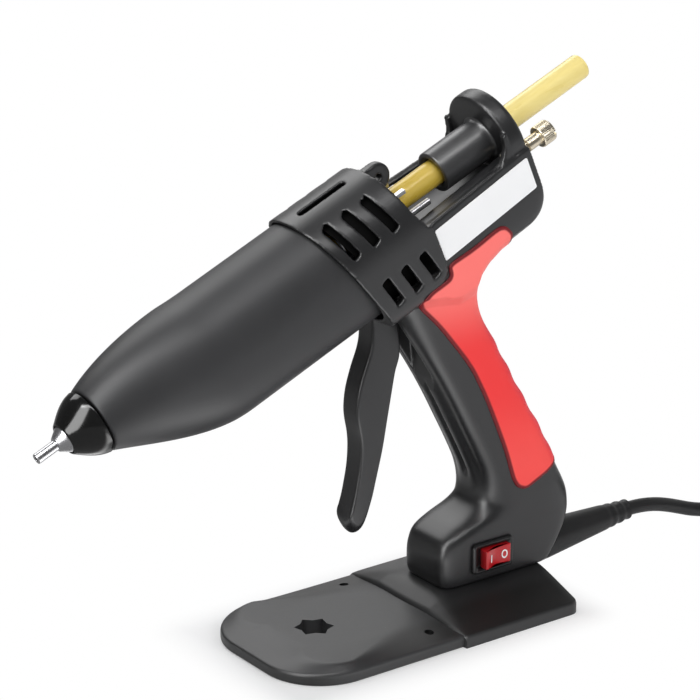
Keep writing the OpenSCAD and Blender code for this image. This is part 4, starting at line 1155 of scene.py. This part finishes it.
def lead_route():
    """The lead's middle line, from inside its strain relief to the plug."""
    start = [BOOT_X + BOOT_LEN - 12.0, 0, BOOT_Z]
    free_stretch = [
        [BOOT_X + BOOT_LEN, 0, BOOT_Z], [154, 0, 20.3], [161, 0, 19.5], [168, 0, 18], [175, 0, 15.8],
        [182, 0, 13.2], [189, 0, 10.5], [195, 0, 8.6], [200, 0.1, 7.3], [205.5, 0.7, 6.2], [211.5, 2.6, 5.4],
        [217, 5.7, 5.1], [221.7, 9.9, COIL_Z], [225.5, 14.94, COIL_Z],
    ]
    return smooth_route(np.vstack([[start], free_stretch, coil_route(24)]), 2.5)


def make_lead(route, finish):
    """A round tube along the route: each ring is square to the way between its neighbours."""
    way = np.gradient(route, axis=0)
    way /= np.linalg.norm(way, axis=1, keepdims=True)
    side = np.cross(way, [0.0, 0.0, 1.0])
    side /= np.linalg.norm(side, axis=1, keepdims=True)
    up = np.cross(side, way)
    a = around(18)[:, None]
    rings = route[:, None] + CORD_D / 2 * (np.cos(a) * side[:, None] + np.sin(a) * up[:, None])
    return lofted("mains_lead", rings, finish, node=("cord_run", "cord_coil"), slot="lead")


def make_boot(finish):
    """Strain relief: an even taper whose middle rises 2.7 mm to the lead, with shallow rings near its end."""
    x = np.concatenate([[-4.0], np.linspace(-4, BOOT_LEN, 140), [BOOT_LEN + 0.2]])[:, None]
    grooves = 0.25 * (np.cos(2 * np.pi * x / 5.4) - 1)
    r = 9.4 + (5.0 - 9.4) * np.clip(x, 0, None) / BOOT_LEN + ramp(x, 38, 44) * grooves
    r[0] = 6.0
    r[-1] = CORD_D / 2 - 0.4
    z = BOOT_Z - 2.7 * np.clip(1 - x / BOOT_LEN, 0, 1)
    skin = along_x(x, r, r, (BOOT_X, 0.0, z))
    lofted("strain_relief_skin", skin, finish, node=("strain_relief",), slot="lead")


def make_plug(place, finish):
    """Plug: round neck growing into a rounded slab, with a shallow finger hollow on its sides."""
    x = PLUG_LEN * np.linspace(0, 1, 60)[:, None]
    grown = ease((x - 5) / 14)
    hollow = bump(x, 34, 7)
    edge = 1 - ramp(x, 47, PLUG_LEN) ** 2 * 0.12
    half_y = (4.3 + 13.7 * grown - 1.6 * hollow) * edge
    half_z = (4.3 + 3.7 * grown - 0.9 * hollow) * edge
    skin = along_x(x, half_y, half_z, place, 2 + 2.6 * grown, 96)
    return lofted("plug_skin", skin, finish, node=("plug_body",), slot="lead")


def make_plug_pins(place, finish):
    """Two round pins with rounded ends."""
    a = np.linspace(0, np.pi / 2, 10)
    end = np.column_stack([69 - 2.0 * (1 - np.sin(a)), 0.05 + 2.35 * np.cos(a)])
    x, r = np.vstack([[(44, 2.0), (50.5, 2.0), (50.5, 2.4)], end]).T[:, :, None]
    pins = [along_x(x, r, r, place + [0, y, 0], count=40) for y in (-PIN_Y, PIN_Y)]
    faces = skin_faces(pins[0])
    count = pins[0].shape[0] * pins[0].shape[1]
    faces += [[k + count for k in face] for face in faces]
    return laid_mesh("plug_pins_skin", np.stack(pins), faces, finish, node=("plug_pins",), slot="steel")


def make_tie(finish):
    """A flat band round the coil's section, with rounded corners."""
    low = COIL_IN - COIL_DIP - CORD_D / 2 - 0.1
    high = COIL_OUT + CORD_D / 2 + 0.1
    base = COIL_Z - CORD_D / 2 - 0.1
    top = COIL_Z + COIL_PITCH + CORD_D / 2 + 0.1
    outline = rounded_box((high - low) / 2 + TIE_T, (top - base) / 2 + TIE_T, 4.2, 10)
    inner = shrunk(outline, TIE_T)
    mid = [COIL_MID[0] + (low + high) / 2, (top + base) / 2]
    rounds = ((-4.0, 0.25), (-3.6, 0.0), (3.6, 0.0), (4.0, 0.25))
    rows = [(y, shrunk(outline, inset)) for y, inset in rounds]
    rows += [(y, shrunk(inner, -inset)) for y, inset in rounds[::-1]]
    rings = np.stack([np.insert(mid + o, 1, COIL_MID[1] + y, axis=1) for y, o in rows])
    return lofted("lead_tie_skin", rings, finish, closed_rows=True, node=("cord_tie",), slot="tie")


# Switch

def make_switch_frame(finish):
    """Bezel: a rounded frame, 24 by 15, with a raised lip and a deep well for the rocker."""
    half_sizes_radius_depth = [
        (11.2, 6.9, 1.4, 4.0), (12.0, 7.5, 1.8, 1.4), (12.0, 7.5, 1.8, 0.5), (11.5, 7.0, 1.6, 0.0),
        (10.4, 6.0, 1.2, -0.05), (9.6, 5.6, 0.9, 0.35), (9.0, 5.1, 0.8, 0.6),
        (8.8, 4.95, 0.7, 1.2), (8.8, 4.95, 0.7, 9.0),
    ]
    rings = []
    for half_x, half_z, r, depth in half_sizes_radius_depth:
        outline = rounded_box(half_x, half_z, r) + [SWITCH_X, SWITCH_Z]
        rings.append(np.insert(outline, 1, SWITCH_Y + depth, axis=1))
    lofted("switch_frame", np.stack(rings), finish, node=("switch_housing",), slot="casing", crease=45)


def rocker_place(p):
    """Points (along, out, up) on the rocker, leaning about its axle at rest."""
    along, out, up = np.moveaxis(p, -1, 0)
    x = SWITCH_X + along * math.cos(ROCKER_LEAN) - out * math.sin(ROCKER_LEAN)
    y = AXLE_Y + along * math.sin(ROCKER_LEAN) + out * math.cos(ROCKER_LEAN)
    return np.stack([x, y, SWITCH_Z + up], -1)


def make_rocker(finish):
    """Rocker: two faces meeting in a shallow valley, with rounded edges."""
    face = [
        (-8.2, -6.9), (-7.6, -7.5), (-6.4, -7.55), (0, VALLEY), (6.4, -7.55), (7.6, -7.5), (8.2, -6.9),
        (7.4, -3), (2.6, 2.2), (-2.6, 2.2), (-7.4, -3),
    ]
    places = rocker_place(plate_rows(closed_curve(face, 6), -4.6, 4.6, 0.6))
    lofted("rocker_skin", places, finish, body="rocker", node=("switch_rocker",), slot="rocker", crease=40)


def make_mark(name, outer, inner, middle, finish):
    """A thin figure between two outlines, laid on the rocker's face with its middle there along it."""
    rings = []
    for outline, lift in ((outer, 0.0), (outer, 0.09), (inner, 0.09), (inner, 0.0)):
        along = middle + outline[:, 0]
        rings.append(np.column_stack([along, VALLEY - np.abs(along) * 0.258 - lift, outline[:, 1]]))
    lofted(name, rocker_place(np.stack(rings)), finish, closed_rows=True, body="rocker")


# Label, stick, guide and adjuster

def make_label(finish):
    """A thin plate with round corners, laid along the narrowing side of the body."""
    rows = plate_rows(rounded_box(29.8, 8.1, 1.0) + [32.8, -16.2], 0.0, 0.55, 0.25)
    s, t, lift = np.moveaxis(rows, -1, 0)
    places = from_barrel(s, -body_half_width(s) - lift, t)
    lofted("label_skin", places, finish, node=("label_plate",), slot="label")


def make_stick(finish):
    """Glue stick: a rod with rounded cut ends."""
    corners = [(STICK_FRONT, 0.02), (STICK_FRONT, STICK_R), (STICK_REAR, STICK_R), (STICK_REAR + 0.5, 0.02)]
    ends = rounded_path(corners, [0.8, 1.8], 8)
    cut = np.searchsorted(ends[:, 0], 0.0)
    even = [(s, STICK_R) for s in np.linspace(-95, 117, 60)]
    rings = turned(np.vstack([ends[:cut], even, ends[cut:]]), 72)
    lofted("glue_stick_skin", rings, finish, body="feed", node=("glue_stick",), slot="stick")


def make_guide(finish):
    """Rear stick guide: a tube with rounded rims and a shoulder against the flange."""
    front = FLANGE_S - GUIDE_LEN
    rear = FLANGE_REAR + 0.2
    bore = STICK_R + 0.4
    corners = [
        (front + 24, bore), (front + 1.5, bore), (front, STICK_R + 1.6), (front, GUIDE_R),
        (FLANGE_S - 0.2, GUIDE_R), (FLANGE_S + 0.4, GUIDE_R + 3.0), (FLANGE_S + 0.5, GUIDE_R - 0.2),
        (rear, GUIDE_R - 0.2), (rear, STICK_R + 0.8), (FLANGE_REAR - 4, bore),
    ]
    rings = turned(rounded_path(corners, [0.6, 0.6, 0.9, 2.6, 0.1, 0.2, 0.5, 0.4]), 96)
    lofted("stick_guide_skin", rings, finish, node=("stick_guide",), slot="casing", caps=False)


def make_adjuster_shaft(rear, finish):
    """A threaded shaft: r = 2.2 + 0.3 * ridge, where ridge is a triangle wave of turn - s / pitch."""
    pitch = 0.9
    s = np.arange(FLANGE_S - 1.0, rear, pitch / 6)[:, None]
    a = around(36)
    r = 2.2 + 0.3 * np.abs(2 * ((a / (2 * np.pi) - s / pitch) % 1.0) - 1)
    rings = from_barrel(s, ADJUSTER_Y + r * np.cos(a), ADJUSTER_T + r * np.sin(a))
    node = ("adjuster_screw",)
    lofted("adjuster_shaft", rings, finish, body="adjuster", node=node, slot="steel", crease=60)


def make_adjuster_head(rear, finish):
    """A neck and a head with 36 fine knurls, r + 0.08 * cos(36 a), and a screwdriver slot."""
    corners = [
        (rear - 6.5, 2.0), (rear - 6.5, 3.1), (rear + 0.6, 3.1),
        (rear + 0.6, 5.2), (rear + 8, 5.2), (rear + 8, 0.05),
    ]
    s, r = rounded_path(corners, [0.5, 0.3, 0.7, 0.9], 5).T[:, :, None]
    a = around(144)
    r = r + (r > 5.1) * 0.08 * np.cos(36 * a)
    solid = blank(from_barrel(s, ADJUSTER_Y + r * np.cos(a), ADJUSTER_T + r * np.sin(a)))
    low = (rear + 6.4, ADJUSTER_Y - 10, ADJUSTER_T - 0.7)
    high = (rear + 12, ADJUSTER_Y + 10, ADJUSTER_T + 0.7)
    solid = worked(solid, "DIFFERENCE", [block(low, high)])
    smoothed(solid.data, 30)
    kept(solid, "adjuster_head", finish, body="adjuster", slot="steel")


def squash_spring():
    """Finds where the return spring's front end lies along the barrel and gives the spring a mesh of its own.
    """
    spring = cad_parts["return_spring"]
    start = from_barrel(0, 0, 0)
    ahead = from_barrel(1, 0, 0) - start
    s = (np.array([v.co for v in spring.data.vertices]) / MM - start) @ ahead
    front = tuple(from_barrel(s.min(), 0, 0) * MM)
    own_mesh(spring)


# Scene

make_camera()
make_lamp("top strip", (-0.45, -0.5, 1.55), 1.8, 0.25, 15.0, True)
make_lamp("left strip", (-1.35, -0.35, 0.9), 0.8, 1.8, 34.0, True)
make_lamp("back strip", (0.25, 1.4, 1.45), 2.0, 0.9, 19.0, True)
make_lamp("top light", (-0.3, 0.3, 1.7), 1.3, 1.3, 19.0, False)
make_lamp("front light", (0.3, -1.7, 1.0), 2.0, 1.6, 22.0, False)
make_floor()
make_studio()

casing_black = moulded("satin casing", (0.009, 0.009, 0.01), (0.014, 0.014, 0.015), 0.37, mirror=0.62)
cone_black = moulded("satin cone", (0.022, 0.022, 0.023), (0.031, 0.031, 0.033), 0.46, mirror=0.42)
guide_black = moulded("satin guide", (0.026, 0.026, 0.027), (0.036, 0.036, 0.038), 0.34, mirror=1.0)
# Painted shade: a near-black, dull finish for the sheet behind the vents.
vent_shade_black = moulded("painted vent shade", (0.002, 0.002, 0.002), (0.004, 0.004, 0.004), 0.9, mirror=0.05)
cap_black = moulded("gloss cap", (0.005, 0.005, 0.005), (0.008, 0.008, 0.008), 0.14, 0.6, 0.02)
lead_black = moulded(
    "lead sheath", (0.007, 0.007, 0.0075), (0.012, 0.012, 0.0125), 0.44, 0.7, 0.1, mirror=0.4)
switch_black = moulded("switch black", (0.006, 0.006, 0.0065), (0.01, 0.01, 0.0105), 0.3, 0.4, 0.05)
stand_charcoal = stand_finish("matt stand", 0.015, 0.024, 0.6)
saddle_black = stand_finish("matt saddle", 0.009, 0.014, 0.5)
grip_red = grip_finish()
rocker_red = moulded("rocker red", (0.42, 0.006, 0.01), (0.5, 0.01, 0.016), 0.24, 0.5, 0.02, 0.1)
mark_white = moulded("switch marks", (0.82, 0.82, 0.82), (0.9, 0.9, 0.9), 0.5)
label_white = moulded("bare label", (0.84, 0.84, 0.85), (0.9, 0.9, 0.9), 0.4, 0.4, 0.04)
stick_amber = stick_finish()
bright_steel = turned_metal("bright steel", (0.62, 0.62, 0.63), (0.45, 0.45, 0.47), 0.26)
warm_steel = turned_metal("warm steel", (0.86, 0.78, 0.62), (0.62, 0.55, 0.43), 0.3, 0.6)
cast_metal = turned_metal("cast aluminium", (0.5, 0.5, 0.51), (0.36, 0.36, 0.38), 0.4, 0.8)
inner_grey = moulded("inner moulding", (0.018, 0.018, 0.019), (0.026, 0.026, 0.027), 0.45)
pale_ceramic = moulded("mica insulation", (0.10, 0.092, 0.078), (0.14, 0.13, 0.11), 0.55)
tie_web = moulded("woven tie", (0.02, 0.02, 0.02), (0.035, 0.035, 0.035), 0.8, 0.9, 0.4)

FINISHED_NODES = [
    (stand_charcoal, ["base_tray"]),
    (saddle_black, ["base_saddle"]),
    (casing_black, ["left_shell", "right_shell", "trigger", "stick_guide"]),
    (cone_black, ["nose_cone"]),
    (cap_black, ["nose_cap"]),
    (grip_red, ["soft_grip"]),
    (label_white, ["label_plate"]),
    (bright_steel, ["saddle_screws", "foot_screws", "shell_screws", "nozzle", "heater_cartridges"]),
    (bright_steel, ["guide_rods", "stick_clamp", "drive_pin", "return_spring", "trigger_pin", "plug_pins"]),
    (cast_metal, ["melt_chamber"]),
    (pale_ceramic, ["thermostat", "inlet_sleeve", "terminal_block", "wire_loom"]),
    (inner_grey, ["chamber_bracket", "feed_carriage"]),
    (stick_amber, ["glue_stick"]),
    (warm_steel, ["adjuster_screw", "adjuster_nut"]),
    (switch_black, ["switch_housing"]),
    (rocker_red, ["switch_rocker"]),
    (lead_black, ["strain_relief", "plug_body"]),
    (tie_web, ["cord_tie"]),
]
for finish, names in FINISHED_NODES:
    for name in names:
        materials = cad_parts[name].data.materials
        materials.clear()
        materials.append(finish)

route = lead_route()
lead = make_lead(route, lead_black)
make_nose_cone(cone_black)
make_nose_cap(cap_black)
make_nozzle(bright_steel)
make_barrel_casing(casing_black)
# Painted shade behind the vents.
make_vent_shade(vent_shade_black)
make_handle(casing_black)
make_grip(grip_red)
make_trigger(casing_black)
make_tray(stand_charcoal)
make_saddle(saddle_black)
make_boot(lead_black)
plug = route[-1]
plug_pieces = [make_plug(plug, lead_black), make_plug_pins(plug, bright_steel), make_tie(tie_web)]
make_switch_frame(switch_black)
make_rocker(rocker_red)
ring = circle((0.0, 0.0), 1.0, 40)
bar = rounded_box(0.45, 1.9, 0.3, 9)
make_mark("rocker_ring_mark", 1.9 * ring * [0.85, 1.15], 1.25 * ring * [0.8, 1.2], 4.4, mark_white)
make_mark("rocker_bar_mark", bar, bar * 0.02, -4.4, mark_white)
make_label(label_white)
make_stick(stick_amber)
make_guide(guide_black)
make_adjuster_shaft(FLANGE_REAR + 9.0, warm_steel)
make_adjuster_head(FLANGE_REAR + 9.0, warm_steel)
squash_spring()

tuple(route[0] * MM)
(route * MM).tolist()

bpy.context.scene.view_settings.view_transform = "Standard"
